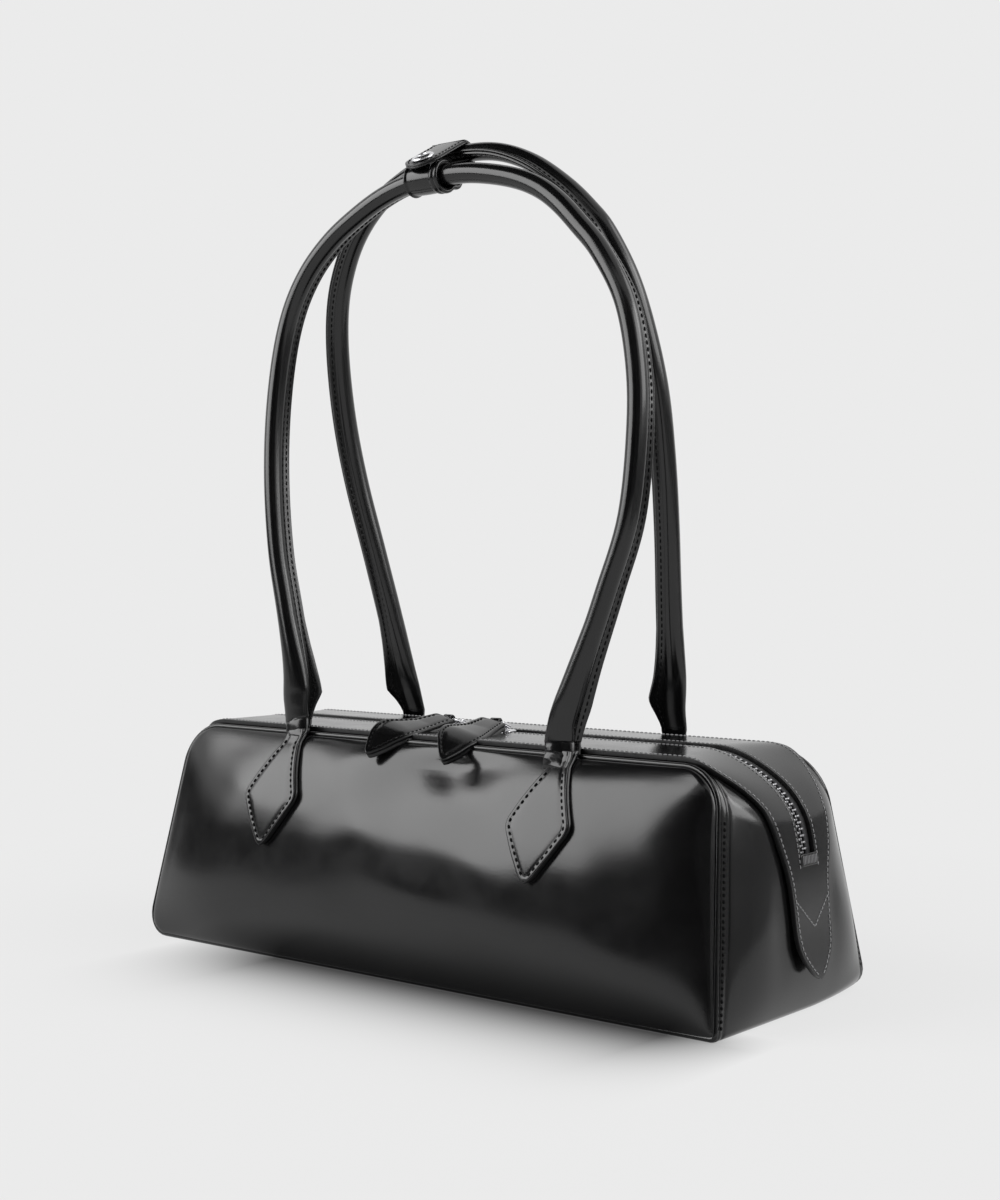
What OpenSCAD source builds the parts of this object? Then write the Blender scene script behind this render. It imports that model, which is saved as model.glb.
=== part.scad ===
// Long shoulder bag in smooth leather, standing on its base.
// X runs along the bag, the front faces -Y and Z is up. The origin is under the middle of the base.

/* [Bag] */
// Length of the bag along its foot
base_len = 340; // [320:2:360]
// Length of the bag along the top seam
top_len = 314; // [300:2:320]
// Depth of the bag at its foot
base_dep = 124; // [116:1:132]
// Depth of the bag between the top seams
top_dep = 81; // [76:1:88]
// Height of the top seams above the ground
seam_h = 105.5; // [100:0.5:112]
// Corner radius at the left end of the foot
foot_r_left = 14; // [10:0.5:16]
// Corner radius at the right end of the foot
foot_r_right = 6; // [4:0.5:12]
// Corner radius at both ends of the top seams
top_r = 20; // [16:0.5:22]
// How far the front and back panels swell outward
panel_puff = 10.5; // [6:0.5:13]
// How far the end gussets swell outward
gusset_puff = 8; // [5:0.5:10]
// Thickness of the outer leather
leather_t = 1.8; // [1.4:0.1:2.2]
// Diameter of the piping in the seams
piping_d = 2.6; // [2:0.1:3]
// Distance from each end of the foot to the seam of the base panel
base_seam_inset = 70; // [50:2:90]
// Clearance left between pieces that lie against each other
lay_gap = 0.15; // [0.1:0.05:0.25]

/* [Inside] */
// Thickness of the stiffening board in the base
board_t = 2; // [1.5:0.1:3]
// Distance between the board's edge and the bag's foot line
board_inset = 14; // [10:0.5:20]
// Thickness of the lining
lining_t = 0.8; // [0.6:0.1:1.2]
// Distance between the lining and the outer leather
lining_inset = 5; // [4:0.5:8]
// Depth from the top seams to the top edge of the lining
lining_drop = 10; // [8:0.5:16]

/* [Zip strip] */
// Height of the middle of the strip above the top seams
strip_crest = 3; // [2:0.25:4]
// Thickness of the strip
strip_t = 2; // [1.6:0.1:2.4]
// Width of the strip's tab on each end of the bag
strip_tab_w = 32; // [28:1:36]
// Height of the tip of each tab above the ground
strip_tip_z = 11; // [9:0.5:20]
// How far the tip of each tab stands off the gusset
strip_tip_stand = 3; // [1:0.5:5]
// Width of the slot over the zip
slot_w = 11; // [10.4:0.2:13]
// Height of the slot's ends above the ground
slot_end_z = 63; // [55:1:75]
// Width of the small patch at each end of the slot
patch_w = 12.5; // [12:0.5:15]
// Length of the small patch at each end of the slot
patch_len = 5; // [4:0.5:7]
// Thickness of the small patch at each end of the slot
patch_t = 1; // [0.8:0.1:1.4]

/* [Zip] */
// Width of the closed chain of teeth
chain_w = 5.8; // [5.4:0.1:6.2]
// Thickness of the chain of teeth
chain_t = 2.4; // [2:0.1:2.8]
// Width of the lane that the sliders' posts run in
lane_w = 1.4; // [1.2:0.1:1.8]
// Thickness of the zip tape
tape_t = 0.7; // [0.5:0.1:0.9]
// Distance from the middle of the zip to the outer edge of a tape
tape_reach = 13; // [11:0.5:14]
// Length of a slider
slider_len = 11; // [10:0.5:12]
// Width of a slider
slider_w = 9.6; // [9:0.1:10]
// Thickness of the plates of a slider
slider_plate_t = 1.1; // [0.9:0.1:1.3]
// Distance of the closed sliders from the middle of the bag
slider_rest_x = 13; // [9:0.5:20]
// Clearance between a slider and the chain
slider_fit = 0.3; // [0.2:0.05:0.4]

/* [Pulls] */
// Wire diameter of a pull's ring
ring_wire_d = 1.4; // [1.2:0.1:1.6]
// Width of a pull's ring, over the wire
ring_w = 8.4; // [7.8:0.2:9]
// Distance between the two bars of a pull's ring
ring_len = 8; // [7:0.25:9]
// Clearance round the bars of a pull's ring
ring_fit = 0.3; // [0.2:0.05:0.4]
// Wall of the eyes that hold a pull's ring
eye_wall = 1; // [0.8:0.1:1.2]
// Width of the slider's eye
slider_eye_w = 3.2; // [2.6:0.2:3.8]
// Length of a leather pull
pull_len = 50; // [44:1:54]
// Width of a leather pull at its widest
pull_w = 19.5; // [16:0.5:22]
// Thickness of a leather pull
pull_t = 3.5; // [2.8:0.1:4]
// Angle by which each pull splays toward its end of the bag
pull_splay = 10; // [0:1:14]
// Angle by which a pull's ring rises toward the front
ring_lift = 18; // [16:1:22]
// Slope of the tip of a pull, beyond the seam
pull_tip_slope = 33; // [24:1:36]

/* [Handles] */
// Distance from the middle of the bag to each handle tab
neck_x = 80; // [74:1:84]
// Diameter of a rolled handle
handle_d = 9.2; // [8:0.2:10]
// Wall of leather round a handle's core
handle_wall = 1.4; // [1:0.1:1.8]
// Height of the stitched lip on a handle
lip_h = 3.4; // [2.4:0.2:4]
// Thickness of the stitched lip on a handle
lip_t = 2.8; // [2.4:0.1:3]
// Half width of the front handle's arch
front_half_w = 108; // [100:1:114]
// Rise of the front handle above its necks
front_rise = 252; // [240:2:262]
// Lean of the front handle toward the back
front_lean = 3.6; // [3:0.1:4.2]
// Half width of the back handle's arch
back_half_w = 95; // [90:1:102]
// Rise of the back handle above its necks
back_rise = 269.5; // [266:0.5:274]
// Lean of the back handle toward the front
back_lean = 11.3; // [10.8:0.1:11.8]
// Thickness of the handle tabs and of the necks
tab_t = 3.4; // [2.8:0.1:4]
// Width of a handle tab at its corners
tab_w = 33; // [28:1:38]
// Width of a neck
neck_w = 10; // [8:0.5:11]
// Distance from the top seam down to the tip of a tab
tab_drop = 51; // [44:1:58]
// Height of the necks' bending line above the top seam
neck_rise = 5; // [4:0.25:7]
// Gap between a tab's upper end and the bending line
neck_gap = 0.65; // [0.5:0.05:0.9]

/* [Keeper] */
// Place of the keeper along the handles
keeper_x = -9; // [-12:1:0]
// Width of the keeper along the handles
keeper_w = 20; // [17:1:22]
// Thickness of the keeper's leather
keeper_t = 1.5; // [1.2:0.1:1.8]
// Clearance between the keeper and the handles
keeper_fit = 0.8; // [0.75:0.05:0.9]
// Height of the rims at both ends of the sleeve
rim_h = 0.7; // [0.5:0.1:1]
// Width of the rims at both ends of the sleeve
rim_w = 2; // [1.5:0.1:2.6]
// How far the flap reaches past the sleeve
flap_reach = 8; // [7:0.5:10]
// Diameter of the snap's cap
snap_d = 11; // [9:0.5:12]
// Diameter of the hole in the snap's cap
snap_hole_d = 4.4; // [3.6:0.2:5]
// Thickness of the snap's cap
snap_cap_t = 1.4; // [1:0.1:1.8]
// Diameter of the snap's stud
stud_d = 3; // [2.6:0.1:3.4]
// Height of the snap's stud
stud_h = 1.5; // [1.2:0.1:1.8]
// Clearance between the snap's stud and its socket
snap_fit = 0.35; // [0.25:0.05:0.45]
// Wall of the snap's socket
socket_wall = 0.9; // [0.7:0.1:1.1]

/* [Hidden] */

leather_black = [0.06, 0.06, 0.065];
cloth_black = [0.1, 0.1, 0.11];
board_grey = [0.45, 0.43, 0.4];
metal_silver = [0.78, 0.78, 0.8];
core_cream = [0.8, 0.77, 0.7];

$fn = 32;
// Length by which a cut runs past the piece that it cuts
overrun = 2;
// Steps round a corner, up an end, across a panel and across a gusset
corner_steps = 4;
end_steps = 5;
panel_cols = 18;
gusset_cols = 8;
// Powers that set how square the swelling of the panels and gussets is
panel_len_power = 5;
panel_high_power = 2.5;
gusset_dep_power = 2.5;
gusset_high_power = 3;

// Outline points of the front handle, as shares of its half width and of its rise
front_arch_shares = [
    [-0.74, 0], [-0.75, 0.04], [-0.77, 0.1], [-0.84, 0.21], [-0.91, 0.32], [-0.955, 0.45], [-0.965, 0.575],
    [-0.94, 0.695], [-0.885, 0.785], [-0.79, 0.855], [-0.655, 0.91], [-0.5, 0.95], [-0.34, 0.98],
    [-0.18, 0.996], [0, 1], [0.17, 0.995], [0.36, 0.977], [0.5, 0.953], [0.61, 0.921], [0.72, 0.876],
    [0.83, 0.825], [0.95, 0.742], [1.015, 0.64], [1.035, 0.53], [1.01, 0.38], [0.92, 0.255],
    [0.835, 0.13], [0.79, 0.04], [0.78, 0]
];
// Outline points of the back handle, as shares of its half width and of its rise
back_arch_shares = [
    [-0.83, 0], [-0.85, 0.04], [-0.87, 0.08], [-0.905, 0.18], [-0.96, 0.305], [-1.02, 0.44], [-1.045, 0.56],
    [-1.03, 0.68], [-0.98, 0.77], [-0.89, 0.84], [-0.77, 0.895], [-0.61, 0.94], [-0.42, 0.975],
    [-0.21, 0.995], [0, 1], [0.2, 0.992], [0.39, 0.965], [0.56, 0.922], [0.68, 0.88], [0.77, 0.838],
    [0.87, 0.76], [0.93, 0.67], [0.963, 0.57], [0.96, 0.46], [0.94, 0.35], [0.906, 0.228],
    [0.865, 0.1], [0.83, 0.04], [0.82, 0]
];
// Outline of a tab from its neck down to its tip, as shares of its drop and of its width
tab_outline_shares = [
    [0.08, 0.16], [0.18, 0.24], [0.36, 0.375], [0.51, 0.49], [0.56, 0.5], [0.61, 0.47],
    [0.76, 0.32], [0.94, 0.14], [1, 0.04]
];
// Outline of a pull from its ring to its tip, as shares of its length and of its width
pull_outline_shares = [
    [0, 0.25], [0.12, 0.26], [0.3, 0.33], [0.52, 0.46], [0.6, 0.5], [0.68, 0.46], [0.86, 0.26],
    [0.97, 0.1], [1, 0.05]
];

// Derived sizes
bead_r = piping_d / 2;
seam_inset = piping_d + lay_gap;
handle_r = handle_d / 2;
hinge_y = top_dep / 2 + lay_gap + tab_t / 2;
hinge_z = seam_h + neck_rise;
deck_z = seam_h + strip_crest;
tape_high = -lay_gap - gusset_puff * pow(tape_reach / (top_dep / 2), gusset_dep_power);
tape_low = tape_high - tape_t;
chain_mid = (tape_high + tape_low) / 2;
zip_z = deck_z - strip_t + chain_mid;
slider_top_z = zip_z + chain_t / 2 + slider_fit + slider_plate_t;
eye_r = ring_wire_d / 2 + ring_fit + eye_wall;
ring_z = slider_top_z + eye_r - slider_plate_t / 2;
// Heights and runs that lay a pull over the strip's front edge
strip_edge_y = top_dep / 2 - seam_inset;
strip_edge_z = seam_h + strip_t + (strip_crest - strip_t) * (1 - pow(strip_edge_y / (top_dep / 2), 2));
pull_rest_run = strip_edge_y / cos(pull_splay) - ring_len * cos(ring_lift);
pull_fall = ring_z + ring_len * sin(ring_lift) - strip_edge_z - 2 * lay_gap - pull_t / 2;
pull_slope = atan(pull_fall / pull_rest_run);
pull_bend_run = pull_rest_run + pull_t / 2;
// Length of the blend from a flat neck to the round handle
neck_blend = 5 * handle_r;
// Places where the keeper sits on the two handles, across the bag and up
function arch_top(shares, half_w) =
    lookup(keeper_x / half_w, [for (p = shares) if (p[1] > 0.93) p]);
front_reach = front_rise * arch_top(front_arch_shares, front_half_w);
back_reach = back_rise * arch_top(back_arch_shares, back_half_w);
front_spot = [-hinge_y + front_reach * sin(front_lean), hinge_z + front_reach * cos(front_lean)];
back_spot = [hinge_y - back_reach * sin(back_lean), hinge_z + back_reach * cos(back_lean)];
spots_span = norm(back_spot - front_spot);
spots_angle = atan2(back_spot[1] - front_spot[1], back_spot[0] - front_spot[0]);
sleeve_in_r = handle_r + keeper_fit;
sleeve_out_r = sleeve_in_r + keeper_t;
flap_lift = sleeve_out_r + stud_h + snap_fit;
flap_back_lift = handle_r + keeper_fit;
flap_angle = spots_angle - asin((flap_lift - flap_back_lift) / spots_span);
flap_run = spots_span * cos(spots_angle - flap_angle);
socket_r = stud_d / 2 + snap_fit + socket_wall;
// The strap leaves the sleeve where it wraps the handle's lip
lip_reach = handle_r + lip_h - lip_t / 2 + keeper_fit;
lip_wrap_r = lip_t / 2 + keeper_fit + keeper_t + lay_gap;
lip_spot = front_spot + lip_reach * [cos(front_lean), -sin(front_lean)];
lip_span = norm(back_spot - lip_spot);
lip_angle = atan2(back_spot[1] - lip_spot[1], back_spot[0] - lip_spot[0]);
strap_angle = lip_angle + asin((lip_wrap_r - flap_back_lift) / lip_span);
strap_run = lip_span * cos(strap_angle - lip_angle);
strap_gap_angle = asin((keeper_t / 2 + snap_fit) / flap_back_lift);

// Plain helpers
function mix(a, b, t) = a + (b - a) * t;
function clamp(v) = min(1, max(0, v));
function half_len(z) = mix(base_len, top_len, z / seam_h) / 2;
function half_dep(z) = mix(base_dep, top_dep, clamp(z / seam_h)) / 2;
function corner_cut(h, r) = h >= r ? 0 : r - sqrt(max(0, r * r - pow(r - h, 2)));

// Half length of the panels' outline, drawn in by inset, at one height
function edge_x(z, foot_r, inset) =
    half_len(z) - inset
    - max(corner_cut(z - inset, foot_r - inset), corner_cut(seam_h - inset - z, top_r - inset));

// Heights of the rows that follow the outline from the foot to the top seam
function levels(inset) =
    let (
        low = max(foot_r_left, foot_r_right) - inset,
        high = top_r - inset,
        a = inset + low,
        b = seam_h - inset - high
    )
    concat(
        [for (k = [0 : corner_steps]) inset + low * (1 - cos(90 * k / corner_steps))],
        [for (k = [1 : end_steps - 1]) mix(a, b, k / end_steps)],
        [for (k = [corner_steps : -1 : 0]) seam_h - inset - high * (1 - cos(90 * k / corner_steps))]
    );

// Swelling of the front and back panels and of the end gussets
function panel_out(x, z) =
    panel_puff * (1 - pow(clamp(abs(x) / half_len(z)), panel_len_power))
    * (1 - pow(clamp(abs(2 * z / seam_h - 1)), panel_high_power));
function gusset_out(y, z) =
    gusset_puff * (1 - pow(clamp(abs(y) / half_dep(z)), gusset_dep_power))
    * (1 - pow(clamp(abs(2 * z / seam_h - 1)), gusset_high_power));
function panel_y(x, z) = half_dep(z) + panel_out(x, z);

// Two triangles of a quad, turned over when flip is set
function quad(a, b, c, d, flip) = flip ? [[a, c, b], [a, d, c]] : [[a, b, c], [a, c, d]];
function grid_faces(rows, cols, start, flip, ring, loop) = [
    for (i = [0 : rows - (loop ? 1 : 2)], j = [0 : cols - (ring ? 1 : 2)])
        let (i2 = (i + 1) % rows, j2 = (j + 1) % cols)
        each quad(
            start + i * cols + j,
            start + i * cols + j2,
            start + i2 * cols + j2,
            start + i2 * cols + j,
            flip
        )
];
function flat(grid) = [for (row = grid, p = row) p];
function middle(points) = [for (k = [0 : 2]) [for (p = points) p[k]] * [for (p = points) 1] / len(points)];

// Closed sheet between an outer and an inner grid of points
module sheet(outer, inner) {
    rows = len(outer);
    cols = len(outer[0]);
    n = rows * cols;
    i = floor((rows - 1) / 2);
    j = floor((cols - 1) / 2);
    up = cross(outer[i][j + 1] - outer[i][j], outer[i + 1][j] - outer[i][j]);
    flip = up * (outer[i][j] - inner[i][j]) > 0;
    rim = concat(
        [for (k = [0 : cols - 2]) k],
        [for (k = [0 : rows - 2]) k * cols + cols - 1],
        [for (k = [cols - 1 : -1 : 1]) (rows - 1) * cols + k],
        [for (k = [rows - 1 : -1 : 1]) k * cols]
    );
    polyhedron(
        concat(flat(outer), flat(inner)),
        concat(
            grid_faces(rows, cols, 0, flip, false, false),
            grid_faces(rows, cols, n, !flip, false, false),
            [for (k = [0 : len(rim) - 1])
                let (a = rim[k], b = rim[(k + 1) % len(rim)])
                each quad(b, a, a + n, b + n, flip)]
        ),
        convexity = 6
    );
}

// Whether the rings of a tube run so that their faces have to be turned over
function tube_flip(rings) =
    let (i = floor(len(rings) / 2), a = rings[i][0], hub = middle(rings[i]))
    cross(rings[i][1] - a, rings[i + 1][0] - a) * (a - hub) > 0;

// Solid tube through rings of points, closed end to end when loop is set
module tube(rings, loop = false) {
    rows = len(rings);
    cols = len(rings[0]);
    flip = tube_flip(rings);
    up = [for (j = [0 : cols - 1]) j];
    down = [for (j = [cols - 1 : -1 : 0]) j];
    last = (rows - 1) * cols;
    caps = loop ? [] : [flip ? up : down, [for (j = flip ? down : up) last + j]];
    polyhedron(flat(rings), concat(grid_faces(rows, cols, 0, flip, true, loop), caps), convexity = 8);
}

// Hollow tube between outer and inner rings of points, open at both ends
module pipe(outer, inner) {
    rows = len(outer);
    cols = len(outer[0]);
    n = rows * cols;
    flip = tube_flip(outer);
    last = (rows - 1) * cols;
    ends = [for (j = [0 : cols - 1])
        let (k = (j + 1) % cols)
        each concat(
            quad(k, j, j + n, k + n, flip),
            quad(last + j, last + k, last + k + n, last + j + n, flip)
        )];
    sides = concat(grid_faces(rows, cols, 0, flip, true, false), grid_faces(rows, cols, n, !flip, true, false));
    polyhedron(concat(flat(outer), flat(inner)), concat(sides, ends), convexity = 8);
}

// Front or back panel: side is -1 for the front and 1 for the back
module panel(side) {
    zs = levels(seam_inset);
    function point(z, k, t) =
        let (
            x = mix(-edge_x(z, foot_r_left, seam_inset), edge_x(z, foot_r_right, seam_inset), k / panel_cols)
        )
        [x, side * (panel_y(x, z) - t), z];
    sheet(
        [for (z = zs) [for (k = [0 : panel_cols]) point(z, k, 0)]],
        [for (z = zs) [for (k = [0 : panel_cols]) point(z, k, leather_t)]]
    );
}

module front_panel() {
    color(leather_black) panel(-1);
}

module back_panel() {
    color(leather_black) panel(1);
}

// End gusset from the base seam round the foot corner and up, and under the strip's shoulder:
// end is -1 for the left and 1 for the right
module gusset(end, foot_r) {
    zs = [for (z = levels(0)) if (z < seam_h - top_r - lay_gap) z];
    low_walk = concat(
        [[base_len / 2 - base_seam_inset + lay_gap, 0, 0, 1]],
        [for (z = zs) let (
            x = edge_x(z, foot_r, 0),
            a = z < foot_r ? acos(clamp((foot_r - z) / foot_r)) : 90
        ) [x, z, sin(a), cos(a)]]
    );
    top_walk = [for (k = [0 : 2]) end_row(k)];
    function side_y(z, k) = mix(-1, 1, k / gusset_cols) * (half_dep(z) - seam_inset);
    function point(w, k, t) =
        let (y = side_y(w[1], k))
        [end * (w[0] + gusset_out(y, w[1]) - t * w[2]), y, w[1] + t * w[3]];
    function top_point(w, k, t) =
        let (y = side_y(w[1], k), lift = strip_lift(y, w) - 2 * lay_gap - t)
        [end * (w[0] + w[3] * lift), y, w[1] + w[4] * lift];
    function grid(t) = concat(
        [for (w = low_walk) [for (k = [0 : gusset_cols]) point(w, k, t)]],
        [for (w = top_walk) [for (k = [0 : gusset_cols]) top_point(w, k, t)]]
    );
    difference() {
        sheet(grid(0), grid(leather_t));
        zip_gap(end, top_walk[2][1]);
    }
}

// Room that the gusset leaves for the zip, from below the slot's end upward
module zip_gap(end, top_z) {
    reach = tape_reach + 2 * lay_gap;
    low = slot_end_z - patch_len - 2 * lay_gap;
    near = min(half_len(0), half_len(top_z)) - gusset_puff - leather_t;
    far = max(half_len(0), half_len(top_z)) + 2 * gusset_puff;
    translate([end > 0 ? near : -far, -reach, low]) cube([far - near, 2 * reach, top_z - low + overrun]);
}

module left_gusset() {
    color(leather_black) gusset(-1, foot_r_left);
}

module right_gusset() {
    color(leather_black) gusset(1, foot_r_right);
}

// Flat leather base between the two gussets
module base_panel() {
    reach = base_len / 2 - base_seam_inset - lay_gap;
    wide = base_dep / 2 - seam_inset;
    color(leather_black) translate([-reach, -wide, 0]) cube([2 * reach, 2 * wide, leather_t]);
}

// Board that keeps the base flat
module base_board() {
    reach = base_len / 2 - board_inset;
    wide = base_dep / 2 - board_inset;
    color(board_grey) translate([-reach, -wide, leather_t + lay_gap]) cube([2 * reach, 2 * wide, board_t]);
}

// Solid that follows the inside of the bag, drawn in by inset and with its floor at floor_z
module inner_form(inset, floor_z, top_z) {
    intersection() {
        rotate([90, 0, 0])
            linear_extrude(height = base_dep, center = true)
                polygon([
                    [-half_len(floor_z) + inset, floor_z], [half_len(floor_z) - inset, floor_z],
                    [half_len(top_z) - inset, top_z], [-half_len(top_z) + inset, top_z]
                ]);
        rotate([90, 0, 90])
            linear_extrude(height = base_len, center = true)
                polygon([
                    [-half_dep(floor_z) + inset, floor_z], [half_dep(floor_z) - inset, floor_z],
                    [half_dep(top_z) - inset, top_z], [-half_dep(top_z) + inset, top_z]
                ]);
    }
}

// Lining sewn in as an open tray
module lining() {
    floor_z = leather_t + board_t + 2 * lay_gap;
    top_z = seam_h - lining_drop;
    inset = leather_t + lining_inset + foot_r_left / 2;
    color(cloth_black)
        difference() {
            inner_form(inset, floor_z, top_z);
            difference() {
                inner_form(inset + lining_t, floor_z, top_z + overrun);
                translate([-base_len / 2, -base_dep / 2, 0]) cube([base_len, base_dep, floor_z + lining_t]);
            }
        }
}

// Bead of piping round a panel: side is -1 for the front and 1 for the back
module piping(side) {
    zs = levels(bead_r);
    foot = zs[0];
    top = zs[len(zs) - 1];
    runs = 5;
    foot_left = -edge_x(foot, foot_r_left, bead_r);
    foot_right = edge_x(foot, foot_r_right, bead_r);
    top_reach = edge_x(top, foot_r_right, bead_r);
    path = concat(
        [for (k = [0 : runs - 1]) [mix(foot_left, foot_right, k / runs), foot]],
        [for (z = zs) [edge_x(z, foot_r_right, bead_r), z]],
        [for (k = [1 : runs - 1]) [mix(top_reach, -top_reach, k / runs), top]],
        [for (k = [len(zs) - 1 : -1 : 1]) [-edge_x(zs[k], foot_r_left, bead_r), zs[k]]]
    );
    n = len(path);
    rings = [for (i = [0 : n - 1])
        let (
            p = path[i],
            along = path[(i + 1) % n] - path[(i + n - 1) % n],
            out = [along[1], -along[0]] / norm(along),
            y = side * (half_dep(p[1]) - bead_r)
        )
        [for (a = [0 : 60 : 300])
            [p[0] + out[0] * bead_r * cos(a), y + bead_r * sin(a), p[1] + out[1] * bead_r * cos(a)]]];
    tube(rings, loop = true);
}

module piping_front() {
    color(leather_black) piping(-1);
}

module piping_back() {
    color(leather_black) piping(1);
}

// Row of the strip's path in the corner at an end of the top
function end_row(k) =
    let (a = 90 * k / (corner_steps + 1), z = seam_h - top_r + top_r * sin(a))
    [half_len(z) - top_r * (1 - cos(a)), z, cos(a), cos(a), sin(a)];

// Path of the zip strip, from the left tip over the top to the right tip:
// x, z, share of the way from the top (0) to the ends (1), and the outward direction
function strip_walk(low_z, rows) =
    let (
        turn_z = seam_h - top_r,
        side = [for (k = [0 : rows]) let (z = mix(low_z, turn_z, k / rows)) [half_len(z), z, 1, 1, 0]],
        bend = [for (k = [1 : corner_steps + 1]) end_row(k)],
        flat_x = half_len(seam_h) - top_r,
        half = concat(side, bend),
        deck = [for (k = [1 : 7]) [mix(-flat_x, flat_x, k / 8), seam_h, 0, 0, 1]]
    )
    concat(
        [for (w = half) [-w[0], w[1], w[2], -w[3], w[4]]],
        deck,
        [for (k = [len(half) - 1 : -1 : 0]) half[k]]
    );

// Height of the strip's underside above the seam line, on the top and over the gussets
function strip_lift(y, w) =
    let (
        crest = (strip_crest - strip_t) * (1 - pow(clamp(abs(y) / half_dep(seam_h)), 2)),
        stand = strip_tip_stand * pow(clamp(1 - w[1] / (seam_h / 2)), 2),
        over = gusset_out(min(abs(y), half_dep(w[1])), w[1]) + 2 * lay_gap + stand
    )
    mix(crest, over, pow(w[2], 2));

function strip_point(w, y, t) =
    let (lift = strip_lift(y, w) + t)
    [w[0] + w[3] * lift, y, w[1] + w[4] * lift];

// Half width of the strip at one height
function strip_half(z) =
    let (
        full = half_dep(z) - seam_inset,
        narrow = strip_tab_w / 2,
        spread = pow(clamp((z / seam_h - 0.52) / 0.38), 2.2),
        tip = clamp((strip_tip_z + narrow - z) / narrow)
    )
    mix(narrow * pow(1 - pow(tip, 1.9), 0.7), full, spread);

module zip_strip() {
    walk = strip_walk(strip_tip_z + lay_gap, 11);
    cols = 8;
    function grid(t) =
        [for (w = walk) [for (k = [0 : cols]) strip_point(w, mix(-1, 1, k / cols) * strip_half(w[1]), t)]];
    color(leather_black)
        difference() {
            sheet(grid(strip_t), grid(0));
            translate([-base_len, -slot_w / 2, slot_end_z]) cube([2 * base_len, slot_w, seam_h]);
        }
}

// Small patch sewn over an end of the slot
module slot_patch(end) {
    z = slot_end_z - patch_len / 2;
    lift = strip_lift(0, [0, z, 1]) + strip_t + 2 * lay_gap;
    lean = atan2(half_len(0) - half_len(seam_h), seam_h);
    translate([end * (half_len(z) + lift), 0, z])
        rotate([0, -end * lean, 0])
            translate([end > 0 ? 0 : -patch_t, -patch_w / 2, -patch_len / 2])
                cube([patch_t, patch_w, patch_len]);
}

module slot_patch_left() {
    color(leather_black) slot_patch(-1);
}

module slot_patch_right() {
    color(leather_black) slot_patch(1);
}

// Band of the zip between two distances from its middle, down to end_z at both ends:
// side is -1 for the front half and 1 for the back
module zip_band(side, end_z, near, far, low, high) {
    walk = strip_walk(end_z, 5);
    function point(w, y, t) = strip_point(w, side * y, t - strip_lift(side * y, w) + strip_lift(0, w));
    sheet(
        [for (w = walk) [for (y = [near, far]) point(w, y, high)]],
        [for (w = walk) [for (y = [near, far]) point(w, y, low)]]
    );
}

// Tape of one half of the zip, which goes on under the strip beyond the slot's ends
module zip_tape(side) {
    end_z = slot_end_z - patch_len + lay_gap;
    zip_band(side, end_z, chain_w / 2 + lay_gap, tape_reach, tape_low, tape_high);
}

// Teeth of one half of the zip, between the slot's ends
module zip_teeth(side) {
    low = chain_mid - chain_t / 2;
    zip_band(side, slot_end_z + lay_gap, lane_w / 2, chain_w / 2, low, low + chain_t);
}

module zip_tape_front() {
    color(cloth_black) zip_tape(-1);
}

module zip_tape_back() {
    color(cloth_black) zip_tape(1);
}

module zip_teeth_front() {
    color(metal_silver) zip_teeth(-1);
}

module zip_teeth_back() {
    color(metal_silver) zip_teeth(1);
}

// Plate of a slider, as a flat outline
module slider_outline() {
    polygon([
        [-slider_len / 2, -slider_w / 2], [slider_len / 4, -slider_w / 2], [slider_len / 2, -slider_w / 4],
        [slider_len / 2, slider_w / 4], [slider_len / 4, slider_w / 2], [-slider_len / 2, slider_w / 2]
    ]);
}

// Zip slider with its eye: end is -1 for the left and 1 for the right
module slider(end) {
    plate_z = chain_t / 2 + slider_fit;
    flange_z = tape_t / 2 + slider_fit;
    flange_y = chain_w / 2 + slider_fit;
    flange_h = plate_z + slider_plate_t - flange_z;
    post_w = lane_w - 2 * slider_fit;
    post_len = slider_len / 3;
    translate([end * slider_rest_x, 0, zip_z])
        mirror([end < 0 ? 1 : 0, 0, 0]) {
            translate([0, 0, plate_z]) linear_extrude(height = slider_plate_t) slider_outline();
            translate([0, 0, -plate_z - slider_plate_t])
                linear_extrude(height = slider_plate_t) slider_outline();
            translate([-post_len / 2, -post_w / 2, -plate_z - slider_plate_t])
                cube([post_len, post_w, 2 * (plate_z + slider_plate_t)]);
            for (up = [0, 1], back = [0, 1])
                mirror([0, back, 0])
                    mirror([0, 0, up])
                        translate([-slider_len / 2, flange_y, flange_z])
                            cube([slider_len * 3 / 4, slider_w / 2 - flange_y, flange_h]);
        }
    slider_eye(end);
}

// Eye on a slider's back, turned so that its ring points to the front and outward
module slider_eye(end) {
    at_ring(end)
        rotate([0, 90, 0])
            difference() {
                cylinder(h = slider_eye_w, r = eye_r, center = true);
                cylinder(h = slider_eye_w + overrun, r = ring_wire_d / 2 + ring_fit, center = true);
            }
}

// Frame of a ring's upper bar
module at_ring(end) {
    translate([end * slider_rest_x, 0, ring_z]) rotate([0, 0, end * pull_splay]) children();
}

module slider_left() {
    color(metal_silver) slider(-1);
}

module slider_right() {
    color(metal_silver) slider(1);
}

// Frame of a ring's lower bar, where the leather pull hangs
module at_pull(end) {
    at_ring(end)
        translate([0, -ring_len * cos(ring_lift), ring_len * sin(ring_lift)])
            children();
}

// Wire ring between a slider and its pull
module pull_ring(end) {
    reach = ring_w / 2 - ring_wire_d / 2;
    at_ring(end)
        rotate([-ring_lift, 0, 0]) {
            for (y = [0, -ring_len])
                translate([0, y, 0]) rotate([0, 90, 0]) cylinder(h = 2 * reach, d = ring_wire_d, center = true);
            for (x = [-reach, reach])
                translate([x, 0, 0]) rotate([90, 0, 0]) cylinder(h = ring_len, d = ring_wire_d);
            for (x = [-reach, reach], y = [0, -ring_len])
                translate([x, y, 0]) sphere(d = ring_wire_d);
        }
}

module pull_ring_left() {
    color(metal_silver) pull_ring(-1);
}

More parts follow.
